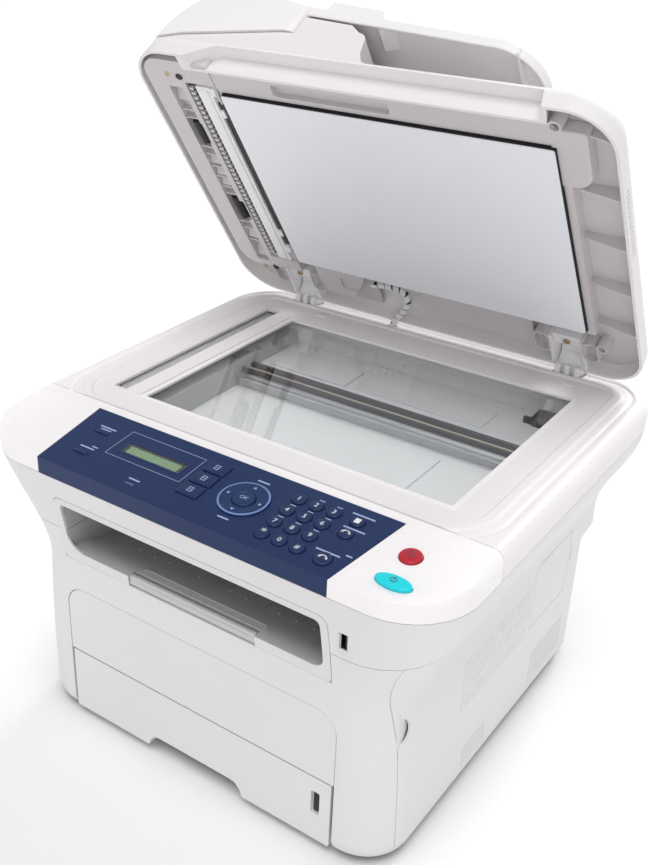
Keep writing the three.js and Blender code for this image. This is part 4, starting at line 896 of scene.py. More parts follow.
@dataclass
class OutputBin(Assembly):
    """The grey bin under the scanner: lighter ring round its mouth, floor with ribs, hood and stop flap."""

    skin: Skin
    left: float = -137.0
    right: float = 134.0
    bottom: float = 175.0
    top: float = 240.0
    rim: float = 7.0
    lip: float = 185.0
    rear: float = 68.0

    def floor_line(self, offset: float) -> list[tuple[float, float]]:
        """The floor from behind the lip, down and up its curved back, moved down by an offset.

        The curve is the polyline of the frame's own floor, rounded by a Catmull-Rom spline.
        """
        back = self.rear - WALL
        level = self.lip - offset
        knots = [(-186.0, level), (-124.0, level - 9.6), (back - 90, level - 12), (back - 40, level - 8),
                 (back - 12 + offset, level + 10),
                 (back + offset, 199.0)]
        return [tuple(p) for p in smooth_path(np.array(knots), 40)]

    def lower_half(self) -> None:
        """The bin's floor, front lip and lower side walls, with the pocket for the flap."""
        top = self.skin.unit_z - SEAM / 2
        profile = [(-FAR, self.bottom), (-182.0, self.bottom), *self.floor_line(WALL)[1:], (self.rear, top),
                   (-FAR, top)]
        outside = prism(profile, "X", self.left + self.rim - WALL, self.right - self.rim + WALL)
        ends = [block(x, x + self.rim, -FAR, -186, self.bottom, top)
                for x in (self.left, self.right - self.rim)]
        carve(outside, ends, "UNION")
        carve(outside, [self.skin.solid(150, 206, 3)], "INTERSECT")
        room = prism([(-FAR, self.lip), *self.floor_line(0.0), (self.rear - WALL, FAR), (-FAR, FAR)], "X",
                     self.left + self.rim, self.right - self.rim)
        pocket = block(-64.4, 64.4, -FAR, -187.8, 174, FAR)
        carve(outside, [room, pocket])
        self.add(outside, "bin_lower", BIN_DARK, ("output_bin",), edge=0.6)

    def ring(self) -> None:
        """The lighter ring round the mouth, with its wide lower left and round upper corners."""
        outline = rounded(self.left, self.right, self.bottom, self.top, (4, 4, 9, 9), 8)
        face = prism(outline, "Y", -FAR, -187.5)
        opening = rounded(self.left + 6.5, self.right - 6.5, self.lip - 0.2, self.top - 6.5, (16, 10, 5, 5), 8)
        mouth = prism(opening, "Y", -FAR, 0)
        carve(face, [mouth, block(-64.6, 64.6, -FAR, 0, 170, 186)])
        outer = self.skin.solid(165, 245, 3, inset=-0.25)
        carve(face, [outer], "INTERSECT")
        carve(face, [self.skin.solid(160, 250, 3, inset=1.6)])
        self.add(face, "bin_mouth_ring", BIN_RING, edge=0.5)

    def hood(self) -> None:
        """The bin's upper half under the scanner: side walls and ceiling."""
        z0 = self.skin.unit_z + SEAM / 2

        def mouth(inset: float) -> Points:
            """The mouth's outline moved inwards."""
            return rounded(self.left + inset, self.right - inset, z0 - 5, self.top - inset, (0, 0, 8, 8), 8)

        walls = prism(mouth(self.rim - WALL), "Y", -205, self.rear)
        carve(walls, [block(-FAR, FAR, -FAR, FAR, z0, FAR)], "INTERSECT")
        carve(walls, [prism(mouth(self.rim), "Y", -FAR, self.rear - WALL)])
        carve(walls, [self.skin.solid(200, 250, 3, inset=1.7)], "INTERSECT")
        self.add(walls, "bin_hood_walls", BIN_DARK, ("bin_hood",), edge=0.5)
        ribs = [block(x, x + 1.4, -180, 58, 228.5, 233.2) for x in np.linspace(-112, 108, 7)]
        self.add(joined(*ribs), "bin_hood_ribs", BIN_DARK)

    def floor_ribs(self) -> None:
        """Thin ribs along the bin's floor, each following the floor's line."""
        ribs = []
        line = np.array(self.floor_line(0.0))
        line = line[(line[:, 0] > -160) & (line[:, 0] < 52)]
        for x in np.linspace(-103, 92, 13):
            upper = [(y, z + 1.5) for y, z in line]
            lower = [(y, z - 0.6) for y, z in line[::-1]]
            ribs.append(prism(upper + lower, "X", x - 0.9, x + 0.9))
        self.add(joined(*ribs), "bin_floor_ribs", BIN_DARK, edge=0.25)

    def flap(self) -> None:
        """The stop flap with its round lower edge and the shallow oblong finger dimple behind it."""
        front = self.skin.front_at(self.bottom) + 0.5
        arc = np.linspace(math.pi, 2 * math.pi, 15)
        outline = np.concatenate([
            np.stack([front + 3 + 3 * np.cos(arc), 177.6 + 3 * np.sin(arc)], -1),
            [(front + 4, 179.0), (front + 4, 184.4), (front + 3.2, 185.0), (front + 0.8, 185.0),
             (front, 184.2)]])
        leaf = prism(outline, "X", -64, 64)
        carve(leaf, [block(-58, 58, front - 2, front + 0.5, 181.2, 182.0)])
        self.add(leaf, "bin_flap_leaf", FLAP_GREY, ("bin_flap",), edge=0.4, body=Body.FLAP)
        dimple = slab(-60, 67, -187.4, -179.0, 3.6, 8, 184.2, 185.25)
        carve(dimple, [slab(-58.6, 65.6, -186.0, -180.4, 2.4, 8, 184.7, 190)])
        self.add(dimple, "bin_dimple_rim", BIN_DARK, edge=0.2)

    def build(self) -> None:
        """Builds the bin."""
        self.lower_half()
        self.ring()
        self.hood()
        self.floor_ribs()
        self.flap()


# ---------------------------------------------------------------- scanner unit
@dataclass
class ScannerUnit(Assembly):
    """Flared scanner housing, the deck round the glass, the glass, and what shows through it."""

    skin: Skin
    glass: tuple[float, float, float, float] = (-134.0, 166.0, -90.0, 133.0)
    strip: tuple[float, float, float, float] = (-171.0, -156.0, -90.0, 141.0)
    deck_seam: float = -122.0
    well_floor: float = 243.5
    shelf_z: float = 255.5
    rod_y: float = 41.0
    rod_z: float = 258.0

    def housing(self) -> None:
        """The flared wall between the two seams, with the bin's mouth, the USB recess and side vents."""
        low, high = self.skin.unit_z + SEAM / 2, self.skin.trim_z - SEAM / 2
        shell = self.skin.solid(low, high, 2.0)
        carve(shell, [self.skin.solid(low - 2, high + 2, 2.0, inset=WALL)])
        floor = self.skin.solid(self.well_floor - WALL, self.well_floor, WALL, inset=WALL / 2)
        carve(shell, [floor], "UNION")
        mouth = prism(rounded(-137.4, 134.4, 190, 240.4, (0, 0, 9, 9), 8), "Y", -FAR, 0)
        port = prism(rounded(142.6, 151.4, 215.4, 231.6, 1.4, 5), "Y", -FAR, -180)
        vents = [prism([(y, 212), (y + 1.8, 212), (y + 5.6, 226), (y + 3.8, 226)], "X",
                       *sorted((side * 198.0, side * FAR)))
                 for start in (70.0, 112.0) for side in (-1, 1) for y in start + 5.6 * np.arange(6)]
        rear = [block(x, x + 2.4, 190, FAR, 214, 232) for x in np.arange(-110, 110, 6.0)]
        carve(shell, [mouth, port, joined(*vents), joined(*rear)])
        self.add(shell, "scanner_housing_skin", SHELL, ("scanner_housing",), edge=0.45)
        backs = [block(x, x + 0.8, 60, 152, 209, 229) for x in (-200.4, 199.6)]
        backs.append(block(-116, 116, 191, 192, 211, 235))
        self.add(joined(*backs), "vent_backs", BIN_DARK, edge=0)

    def usb(self) -> None:
        """The memory stick's socket: steel shell, contact tongue and a recessed surround."""
        self.maker.remake("usb_port", STEEL, 0.15)
        front = self.skin.front_at(223.5)
        tongue = block(147.6, 149.0, front + 1.4, front + 12, 218.4, 228.6)
        self.add(tongue, "usb_tongue", BLACK, edge=0.15)
        rim = prism(rounded(142.4, 151.6, 215.2, 231.8, 1.6, 5), "Y", front - 0.35, front + 2.5)
        carve(rim, [prism(rounded(143.4, 150.6, 216.2, 230.8, 1.0, 5), "Y", front - 3, front + 5)])
        self.add(rim, "usb_surround", SHELL, edge=0.2)

    def deck_profile(self, inset: Points) -> Points:
        """The deck's height by the distance from its edge.

        A quarter round rises to the top, then comes a narrow groove at 14.5 mm, whose depth falls off as an
        exponential, a flat raised band from 25 to 31 mm with soft S sides, and a level field inside.
        """
        groove = -1.3 * np.exp(-np.abs((inset - 14.5) / 1.6) ** 1.3)
        crest = 1.3 * ease(22.0, 25.0, inset) * (1 - ease(31.0, 33.5, inset))
        field_fall = -0.6 * ease(31.0, 33.5, inset)
        return self.skin.deck_z + groove + crest + field_fall

    def deck(self) -> None:
        """The deck: its band, rounded edge, groove and crest, cut for the glass, hinges and lead."""
        skin = self.skin
        steps = 18
        levels = [skin.ring(z, steps=steps) for z in np.linspace(skin.trim_z + SEAM / 2, 275, 6)]
        levels += [skin.ring(275 + 12 * math.sin(a), steps=steps) for a in np.linspace(0, math.pi / 2, 9)[1:]]
        edge_front, edge_rear, edge_half = -141.0, skin.deck_rear - 9, skin.deck_half - 9
        insets = np.concatenate([np.linspace(1.5, 30, 64), [44.0]])
        heights = self.deck_profile(insets + 9)
        for inset, height in zip(insets, heights):
            radii = (max(57 - inset, 12.0), max(57 - inset, 12.0), max(39 - inset, 8.0), max(39 - inset, 8.0))
            outline = rounded(-edge_half + inset, edge_half - inset, edge_front + inset, edge_rear - inset,
                              radii, steps)
            levels.append(lifted(outline, "Z", float(height)))
        shell = capped(levels)
        inside = [skin.ring(skin.trim_z - 1, WALL), skin.ring(275, WALL), skin.ring(279, WALL + 1),
                  skin.ring(skin.deck_z - WALL, WALL + 6, -WALL)]
        inner = capped(inside)
        carve(shell, [block(-FAR, FAR, self.deck_seam + SEAM / 2, FAR, 0, FAR)], "INTERSECT")
        x0, x1, y0, y1 = self.glass
        s0, s1, t0, t1 = self.strip
        holes = [inner, slab(x0, x1, y0, y1, 1.5, 4, 270, 300),
                 slab(s0, s1, t0, t1, 1.0, 4, 270, 300),
                 disc(-44.2, 180.5, 5.3, 32, 270, 300)]
        holes += [slab(x - 14, x + 14, 176, 199.6, 2.0, 5, 270, 300) for x in HINGE_X]
        plate = slab(-87, -35, 157, 168, 1.0, 4, 286.0, 300)
        carve(plate, [slab(-86.2, -35.8, 157.8, 167.2, 0.6, 4, 280, 310)])
        holes += [plate, slab(-82, -76, 178.6, 181.4, 1.2, 5, 284, 300)]
        carve(shell, holes)
        self.add(shell, "deck_skin", DECK, ("scanner_bezel",), edge=0.4, soft_angle=30)

    def deck_trim(self) -> None:
        """Pale frame let in round the panes, the bar between them, and two soft bumper marks."""
        x0, x1, y0, y1 = self.glass
        ring = slab(x0 - 4.4, x1 + 4.4, y0 - 4.2, y1 + 1.6, 2, 4, 286.2, 286.85)
        carve(ring, [slab(x0 + 0.1, x1 - 0.1, y0 + 0.1, y1 - 0.1, 1.5, 4, 280, 290)])
        self.add(ring, "glass_frame", TRIM_WHITE, edge=0.2)
        s0, s1, t0, t1 = self.strip
        bar = block(s1 + 0.2, x0 - 5.2, t0 - 1, t1 - 2, 286.0, 288.0)
        self.add(bar, "pane_bar", DECK, edge=0.7)
        rim = slab(s0 - 1.6, s1 + 1.6, t0 - 1.6, t1 + 1.6, 1.5, 4, 286.2, 286.95)
        carve(rim, [slab(s0 + 0.1, s1 - 0.1, t0 + 0.1, t1 - 0.1, 1, 4, 280, 290)])
        self.add(rim, "strip_frame", BIN_RING, edge=0.2)
        marks = [pillow(rounded(x - 6, x + 6, y - 4, y + 4, 3.6, 6), 286.0, 287.5, 0.5, 0.1)
                 for x, y in ((-117.0, 162.0), (149.0, 162.0))]
        self.add(joined(*marks), "lid_stop_marks", DECK, edge=0)

    def panes(self) -> None:
        """The two panes of glass, as plain slabs."""
        for node, box in (("platen_glass", self.glass), ("adf_glass", self.strip)):
            x0, x1, y0, y1 = box
            pane = block(x0 - 3, x1 + 3, y0 - 3, y1 + 3, 281.2, 284.2)
            self.add(pane, node + "_pane", GLASS, (node,), edge=0)

    def well(self) -> None:
        """Light lining of the well under the glass: floor, walls, shelves, and the parts on them."""
        x0, x1, y0, y1 = self.glass
        lining = block(x0 - 24, x1 + 26, y0 - 14, y1 + 14, 243.8, 279.5)
        carve(lining, [block(x0 - 22, x1 + 24, y0 - 12, y1 + 12, 245.6, 300)])
        self.add(lining, "well_lining", WELL_LIGHT, edge=0.6)
        shelf = prism([(44, 245.4), (y1 + 11.8, 245.4), (y1 + 11.8, 256), (47, 256), (44, 253)], "X",
                      x0 - 21.8, x1 + 23.8)
        self.add(shelf, "well_shelf", WELL_LIGHT, edge=0.8)
        plates = [block(x0 + 12, x0 + 96, 82, 119, 255.8, 258.2),
                  block(x0 + 104, x1 - 62, 86, 119, 255.8, 257.4),
                  block(-40, 96, -70, 28, 245.4, 247.4), block(104, x1 + 8, -84, 24, 245.4, 248.6)]
        self.add(joined(*plates), "well_plates", WELL_LIGHT, edge=0.6)
        # The ledge and the sheet under the narrow pane are painted shade: the well's grey, darkened.
        left = block(x0 - 21.5, x0 - 1, y0 - 11, y1 + 11, 245.4, 270)
        self.add(left, "well_ledge", WELL_PAINTED_SHADE, edge=0.8)
        under = block(self.strip[0] - 2, self.strip[1] + 2, self.strip[2], self.strip[3], 279.7, 280.7)
        self.add(under, "strip_backing", WELL_PAINTED_SHADE, edge=0)

    def drive(self) -> None:
        """Guide rod, toothed belt, rails, a block at the belt's head and the end stop."""
        rod = tube(np.array([[x, self.rod_y, self.rod_z] for x in np.linspace(-207, 207, 24)]), 4.0, 24)
        self.add(rod, "guide_rod_bar", STEEL, ("guide_rod",), edge=0.3)
        rails = joined(block(-150, 186, 48.5, 52.0, self.shelf_z, 262.6),
                       block(-150, 186, 64.5, 69.5, self.shelf_z, 261.0))
        self.add(rails, "drive_rails", BLACK, edge=0.4)
        teeth = [block(x, x + 1.0, 55.0, 60.0, 258.0, 258.5) for x in np.arange(-150, 176, 2.4)]
        belt = joined(block(-152, 178, 55.0, 60.0, 258.4, 259.2), *teeth)
        self.add(belt, "carriage_belt", BRASS_DULL, edge=0)
        head = joined(block(-158, -140, 44.5, 72.5, self.shelf_z, 266),
                      block(-150, -138, 46.0, 71.0, 264, 270))
        self.add(head, "belt_head", BLACK, edge=0.8)
        stop = joined(block(137, 158, 118, 136, 255, 266), block(128, 139, 120, 124, 255, 262))
        self.add(stop, "end_stop", BLACK, edge=0.8)

    def carriage(self) -> None:
        """The scanning carriage with its slot, lamp rod and bearing, and the room it needs over the drive."""
        low, top = self.shelf_z, 279.5
        body = prism([(-86, low), (44.2, low), (44.2, 271), (73.2, 271), (73.2, 259), (117.2, 259),
                      (117.2, 267.2), (129, 267.2), (129, top), (-86, top)], "X", -204, -178)
        rod = tube(np.array([[x, self.rod_y, self.rod_z] for x in np.linspace(-230, -150, 6)]), 4.4, 24)
        carve(body, [rod, block(-193, -189, -80, 123, 274, 290)])
        self.add(body, "carriage_body", BLACK, ("scan_carriage",), edge=0.8, body=Body.CARRIAGE)
        lamp = tube(np.array([[-184.0, y, 278.2] for y in np.linspace(-80, 123, 20)]), 1.6, 14)
        self.add(lamp, "carriage_lamp", PAD_WHITE, edge=0, body=Body.CARRIAGE)

    def build(self) -> None:
        """Builds the scanner unit."""
        self.housing()
        self.usb()
        self.deck()
        self.deck_trim()
        self.panes()
        self.well()
        self.drive()
        self.carriage()


# ---------------------------------------------------------------- console
@dataclass(frozen=True)
class KeyPlan:
    """One key: its node, its place on the slope, its outline and its finish."""

    node: str
    x: float
    y: float
    outline: Points
    finish: Finish
    sign: str = ""


@dataclass
class Console:
    """The sloping console: white cover, dark panel, display, keys with their digits, and printed lines."""

    skin: Skin
    flat: Maker
    sloped: Maker
    seam: float = -122.0
    back_y: float = SLOPE_TOP[0]
    back_z: float = SLOPE_TOP[1]
    ring_at: tuple[float, float] = (34.0, -38.8)
    stop_at: tuple[float, float] = (172.0, -30.2)
    start_at: tuple[float, float] = (175.5, -59.4)
    window: tuple[float, float, float, float] = (-91.6, -30.4, -39.0, -25.8)
    key_floor: float = -4.2
    key_top: float = 1.5
    pitch_x: float = 15.5
    pitch_y: float = 15.8
    first_row: float = -17.2

    def above_slope(self, drop: float = 0.0) -> Item:
        """Everything above the console's slope, which rounds into the deck at its back edge."""
        fall = math.tan(SLOPE)
        y, z = self.back_y, self.back_z - drop
        knots = [(-FAR, z - fall * (FAR + y)), (y - 6, z - fall * 6), (y, z + 0.1), (y + 6, z + 0.8),
                 (self.seam + 5, self.skin.deck_z + 0.2 - drop), (self.seam + 5, FAR), (-FAR, FAR)]
        return prism(knots, "X", -FAR, FAR)

    def body(self, inset: float = 0.0) -> Item:
        """The deck band's full solid, moved inwards by an inset, up to the top of the deck."""
        skin = self.skin
        heights = [*np.linspace(skin.trim_z + SEAM / 2, 275, 6),
                   *(275 + 12 * np.sin(np.linspace(0, math.pi / 2, 9)[1:]))]
        if inset:
            heights[0] = skin.trim_z - 2
        return capped([skin.ring(z, inset, steps=22) for z in heights])

    def plan(self, clearance: float, low: float, high: float) -> Item:
        """The dark panel's plan, moved outwards by a clearance, as a bar along Z."""
        back = self.back_y + clearance
        return prism([(-142.6 - clearance, -221), (134.6 + clearance, -221), (150.5 + clearance, back),
                      (-150.5 - clearance, back)], "Z", low, high)

    def cover(self) -> None:
        """White cover with a soft slope, the panel's opening and the two big keys' dish."""
        shell = self.body()
        carve(shell, [block(-FAR, FAR, -FAR, self.seam - SEAM / 2, 0, FAR)], "INTERSECT")
        room = carve(self.body(WALL), [self.above_slope(WALL)])
        carve(shell, [self.above_slope(), room, self.plan(0.4, 200, 340)])
        holes = [prism(plan.outline, "Z", -12, 9) for plan in self.big_keys(0.45)]
        dish = self.dish()
        for cutter in (*holes, dish):
            cutter.data.transform(self.local_slope())
        carve(shell, [*holes, dish])
        self.flat.finish(shell, "console_cover_skin", TRIM_WHITE, ("console_cover",), edge=0.5, soft_angle=30)

    def local_slope(self) -> Matrix:
        """From the slope's own millimetres to the machine's."""
        return Matrix.Translation((0.0, self.back_y, self.back_z)) @ Matrix.Rotation(SLOPE, 4, "X")

    def dish(self) -> Item:
        """The shallow dish round the start key: rings that narrow downwards by a circle's arc."""
        rings = []
        for angle in np.linspace(0.12, math.pi / 2, 8):
            grow = 18.0 * math.sin(angle) + 1.0
            depth = 1.5 - 3.2 * math.cos(angle)
            rings.append(lifted(ellipse(*self.start_at, grow + 1.0, grow * 0.60, 72), "Z", depth))
        return capped(rings)

    def big_keys(self, grow: float) -> list[KeyPlan]:
        """The stop and start keys on the white cover."""
        stop = ellipse(*self.stop_at, 8.5 + grow, 8.5 + grow, 64)
        start = ellipse(*self.start_at, 14.2 + grow, 6.6 + grow, 72)
        return [KeyPlan("stop_key", *self.stop_at, stop, STOP_RED),
                KeyPlan("start_key", *self.start_at, start, START_TEAL)]

    def panel_keys(self, grow: float) -> list[KeyPlan]:
        """The keys on the dark panel, with their digits."""
        keys = []
        for index, sign in enumerate("123456789*0#"):
            label = {"*": "star", "#": "hash"}.get(sign, sign)
            x = 85.0 + (index % 3 - 1) * self.pitch_x
            y = self.first_row - (index // 3) * self.pitch_y
            radius = 5.8 + grow
            keys.append(KeyPlan("key_" + label, x, y, ellipse(x, y, radius, radius), KEY_NAVY, sign))
        column = (("address_key", 120.6, 0, 5.8), ("redial_key", 120.6, 1, 5.8), ("hook_key", 122.0, 3, 7.0))
        for node, x, row, radius in column:
            y = self.first_row - row * self.pitch_y
            keys.append(KeyPlan(node, x, y, ellipse(x, y, radius + grow, radius + grow), KEY_NAVY))
        for index, node in enumerate(("copy_mode_key", "fax_mode_key", "scan_mode_key")):
            y = -18.2 - 16.6 * index
            outline = rounded(-17.2 - grow, 2.8 + grow, y - 7.1 - grow, y + 7.1 + grow, 1.6, 6)
            keys.append(KeyPlan(node, -7.2, y, outline, KEY_NAVY))
        for node, x, y in (("id_copy_key", -122.0, -27.2), ("usb_key", -117.5, -57.4)):
            outline = rounded(x - 7 - grow, x + 7 + grow, y - 1.8 - grow, y + 1.8 + grow, 1.2, 5)
            keys.append(KeyPlan(node, x, y, outline, NAV_BLUE))
        return keys

    def panel(self) -> None:
        """Dark panel over the console's top and front band, with bevelled edges."""
        plate = carve(self.body(), [self.above_slope()])
        inner = carve(self.body(3.0), [self.above_slope(3.0)])
        carve(plate, [inner])
        carve(plate, [self.plan(0.0, 200, 340)], "INTERSECT")
        outlines = [plan.outline for plan in self.panel_keys(0.4)]
        outlines += [ellipse(*self.ring_at, 20.7, 20.7, 72), rounded(-91.9, -30.1, -39.3, -25.5, 1.0, 4)]
        cutters = [prism(outline, "Z", -12, 9) for outline in outlines]
        for cutter in cutters:
            cutter.data.transform(self.local_slope())
        carve(plate, cutters)
        self.flat.finish(plate, "console_panel_skin", NAVY, ("console_panel",), edge=0.7, soft_angle=24)

    def cap(self, plan: KeyPlan, top: float, round_off: float, dome: float) -> None:
        """One key's domed cap, from the floor of its well up to its top."""
        key = pillow(plan.outline, self.key_floor, top, round_off, dome)
        self.sloped.finish(key, plan.node + "_cap", plan.finish, (plan.node,), edge=0, soft_angle=50,
                           body=plan.node)

    def mark(self, item: Item, name: str, finish: Finish, body: Body | str | None = None) -> None:
        """A thin printed sign, with sharp edges."""
        self.sloped.finish(item, name, finish, edge=0, body=body)

    def hoop(self, outer: Points, inner: Points, low: float, high: float) -> Item:
        """A flat closed line: what lies between two outlines, from low to high."""
        return carve(prism(outer, "Z", low, high), [prism(inner, "Z", low - 1, high + 1)])

    def keys(self) -> None:
        """All round, square and bar keys with domed tops, and their digits and signs."""
        for plan in self.panel_keys(0.0):
            self.cap(plan, self.key_top, 1.1, 0.25)
            if plan.sign:
                drop, size = (1.2, 9.5) if plan.sign == "*" else (0.0, 6.2)
                sign = lettering(plan.sign, plan.x, plan.y + drop, 1.72, size)
                self.mark(sign, plan.node + "_digit", PRINT_WHITE, plan.node)
        for plan in self.big_keys(0.0):
            self.cap(plan, 2.0, 1.4, 0.7)
        self.signs()

    def signs(self) -> None:
        """Generic signs on the keys: stop mark, start mark, page, book, handset and arrows."""
        x, y = self.stop_at
        ring = self.hoop(ellipse(x, y, 3.4, 3.4), ellipse(x, y, 2.9, 2.9), 2.35, 2.82)
        self.mark(joined(ring, disc(x, y, 0.9, 24, 2.4, 2.88)), "stop_sign", SIGN_DARK, "stop_key")
        x, y = self.start_at
        ring = self.hoop(ellipse(x, y, 2.8, 2.3), ellipse(x, y, 2.3, 1.8), 2.4, 2.84)
        stem = block(x - 0.25, x + 0.25, y - 0.2, y + 3.0, 2.45, 2.92)
        self.mark(joined(ring, stem), "start_sign", SIGN_DARK, "start_key")
        for node, y in (("copy_mode_key", -18.2), ("fax_mode_key", -34.8), ("scan_mode_key", -51.4)):
            page = carve(block(-9.6, -5.2, y - 2.8, y + 2.8, 1.6, 1.85),
                         [block(-9.0, -5.8, y - 2.2, y + 2.2, 1, 3)])
            line = block(-8.6, -6.2, y - 0.3, y + 0.3, 1.6, 1.85)
            self.mark(joined(page, line), node + "_sign", PRINT_BLUE, node)
        book = block(118.4, 122.8, self.first_row - 2.6, self.first_row + 2.6, 1.6, 1.86)
        self.mark(book, "address_sign", PRINT_WHITE, "address_key")
        for node, x, row in (("redial_key", 120.6, 1), ("hook_key", 122.0, 3)):
            y = self.first_row - row * self.pitch_y
            arc = np.linspace(math.radians(200), math.radians(-20), 14)
            path = np.stack([x + 2.9 * np.cos(arc), y + 2.2 * np.sin(arc), np.full(14, 1.74)], -1)
            thick = 0.45 + 0.75 * np.abs(np.linspace(-1, 1, 14)) ** 3
            self.mark(tube(path, thick, 8), node + "_sign", PRINT_WHITE, node)

    def turned(self, profile: Outline, sides: int = 96) -> Item:
        """A closed section, given as radii and heights, turned once about the arrow ring's middle."""
        angle = np.linspace(0, 2 * math.pi, sides, endpoint=False)
        radii, heights = np.array(profile).T
        x, y = (middle + radii[:, None] * wave(angle) for middle, wave in zip(self.ring_at, (np.cos, np.sin)))
        rings = np.stack([x, y, np.broadcast_to(heights[:, None], x.shape)], -1)
        faces = grid_faces(len(profile), sides, True).tolist()
        last = (len(profile) - 1) * sides
        faces += [[last + i, last + (i + 1) % sides, (i + 1) % sides, i] for i in range(sides)]
        return new_object("ring", rings.reshape(-1, 3), faces)

    def arrow_ring(self) -> None:
        """The arrow ring: a dished ring with a pale rim, four arrow marks, and the middle key."""
        x, y = self.ring_at
        dished = [(9.4, self.key_floor), (20.3, self.key_floor), (20.3, 0.7), (19.9, 1.25), (19.0, 1.5),
                  (17.0, 1.35), (13.6, 0.95), (10.6, 0.75), (9.8, 0.6), (9.4, 0.2)]
        ring = self.turned(dished)
        self.sloped.finish(ring, "nav_ring_cap", NAV_BLUE, ("nav_ring",), edge=0, soft_angle=40,
                           body="nav_ring")
        rim = [(20.05, 0.9), (20.4, 1.0), (20.45, 1.35), (19.9, 1.62), (18.9, 1.58), (19.0, 1.3)]
        self.sloped.finish(self.turned(rim), "nav_ring_rim", NAV_RIM, edge=0, soft_angle=60, body="nav_ring")
        tips = np.array([(16.2, 0.0), (14.0, 1.5), (14.0, -1.5)])
        marks = []
        for turn in np.arange(4) * math.pi / 2:
            c, s = math.cos(turn), math.sin(turn)
            outline = np.array(self.ring_at) + tips @ np.array([(c, s), (-s, c)])
            marks.append(prism(outline, "Z", 1.0, 1.5))
        self.mark(joined(*marks), "nav_arrows", PRINT_BLUE, "nav_ring")
        self.cap(KeyPlan("ok_key", x, y, ellipse(x, y, 9.0, 9.0, 64), NAV_BLUE), 1.6, 1.2, 0.5)
        sign = lettering("OK", x, y, 2.18, 5.0)
        self.mark(sign, "ok_key_sign", PRINT_BLUE, "ok_key")

    def display(self) -> None:
        """Display: green glass in a dark frame, with a bezel and the line round it."""
        plate = block(-91.5, -30.5, -38.9, -25.9, -7, -2)
        self.sloped.finish(plate, "display_frame", BLACK, ("lcd_module",), edge=0.3)
        # The display glass's faint glow is painted light.
        glass = block(-87.5, -34.5, -37.4, -27.4, -2.05, -1.2)
        self.sloped.finish(glass, "display_glass", LCD_GREEN, edge=0.2)
        # Painted shade: a black band along the top edge of the display glass stands for the shade that the
        # bezel casts on it.
        shade = prism([(-88.9, -27.4), (-33.1, -27.4), (-33.9, -28.6), (-87.9, -28.6)], "Z", -1.22, -0.98)
        self.mark(shade, "display_painted_shade", BLACK)
        self.mark(block(*self.window, -0.9, -0.1), "display_window", WINDOW)
        bezel = self.hoop(rounded(-93.4, -28.6, -40.8, -24.0, 1.6, 4), rounded(*self.window, 1.0, 4),
                          -0.2, 0.35)
        self.sloped.finish(bezel, "display_bezel", NAVY_EDGE, edge=0.25)
        line = self.hoop(rounded(-100.5, -22.5, -47.5, -12.5, 0.6, 3),
                         rounded(-100.1, -22.9, -47.1, -12.9, 0.5, 3), -0.2, 0.12)
        self.mark(line, "display_line", PRINT_BLUE)

    def prints(self) -> None:
        """Generic short dashes where the panel carries words, and the status lamp."""
        rows = [(-122, -19.6, 17, 1.5), (-122, -22.6, 11, 1.2), (-117.5, -50.0, 15, 1.5),
                (-112, -46.6, 6, 1.2), (34, -13.2, 11, 1.5), (34, -64.6, 10, 1.5), (-54, -63.6, 11, 1.5),
                (121, -9.0, 19, 1.5), (123, -25.6, 18, 1.5), (121, -56.6, 20, 1.5), (136, -52.5, 5, 1.5)]
        for index in range(1, 9):
            rows.append((85.0 + (index % 3 - 1) * self.pitch_x,
                         self.first_row + 8.0 - (index // 3) * self.pitch_y, 5.0, 0.9))
        dashes = [block(x - w / 2, x + w / 2, y - h / 2, y + h / 2, -0.2, 0.1) for x, y, w, h in rows]
        self.mark(joined(*dashes), "panel_marks", PRINT_BLUE)
        lamp = pillow(rounded(-58.5, -49.5, -70.6, -68.6, 0.9, 5), -0.4, 0.35, 0.25, 0.05)
        self.mark(lamp, "status_lamp", AMBER)

    def build(self) -> None:
        """Builds the console."""
        self.cover()
        self.panel()
        self.keys()
        self.arrow_ring()
        self.display()
        self.prints()


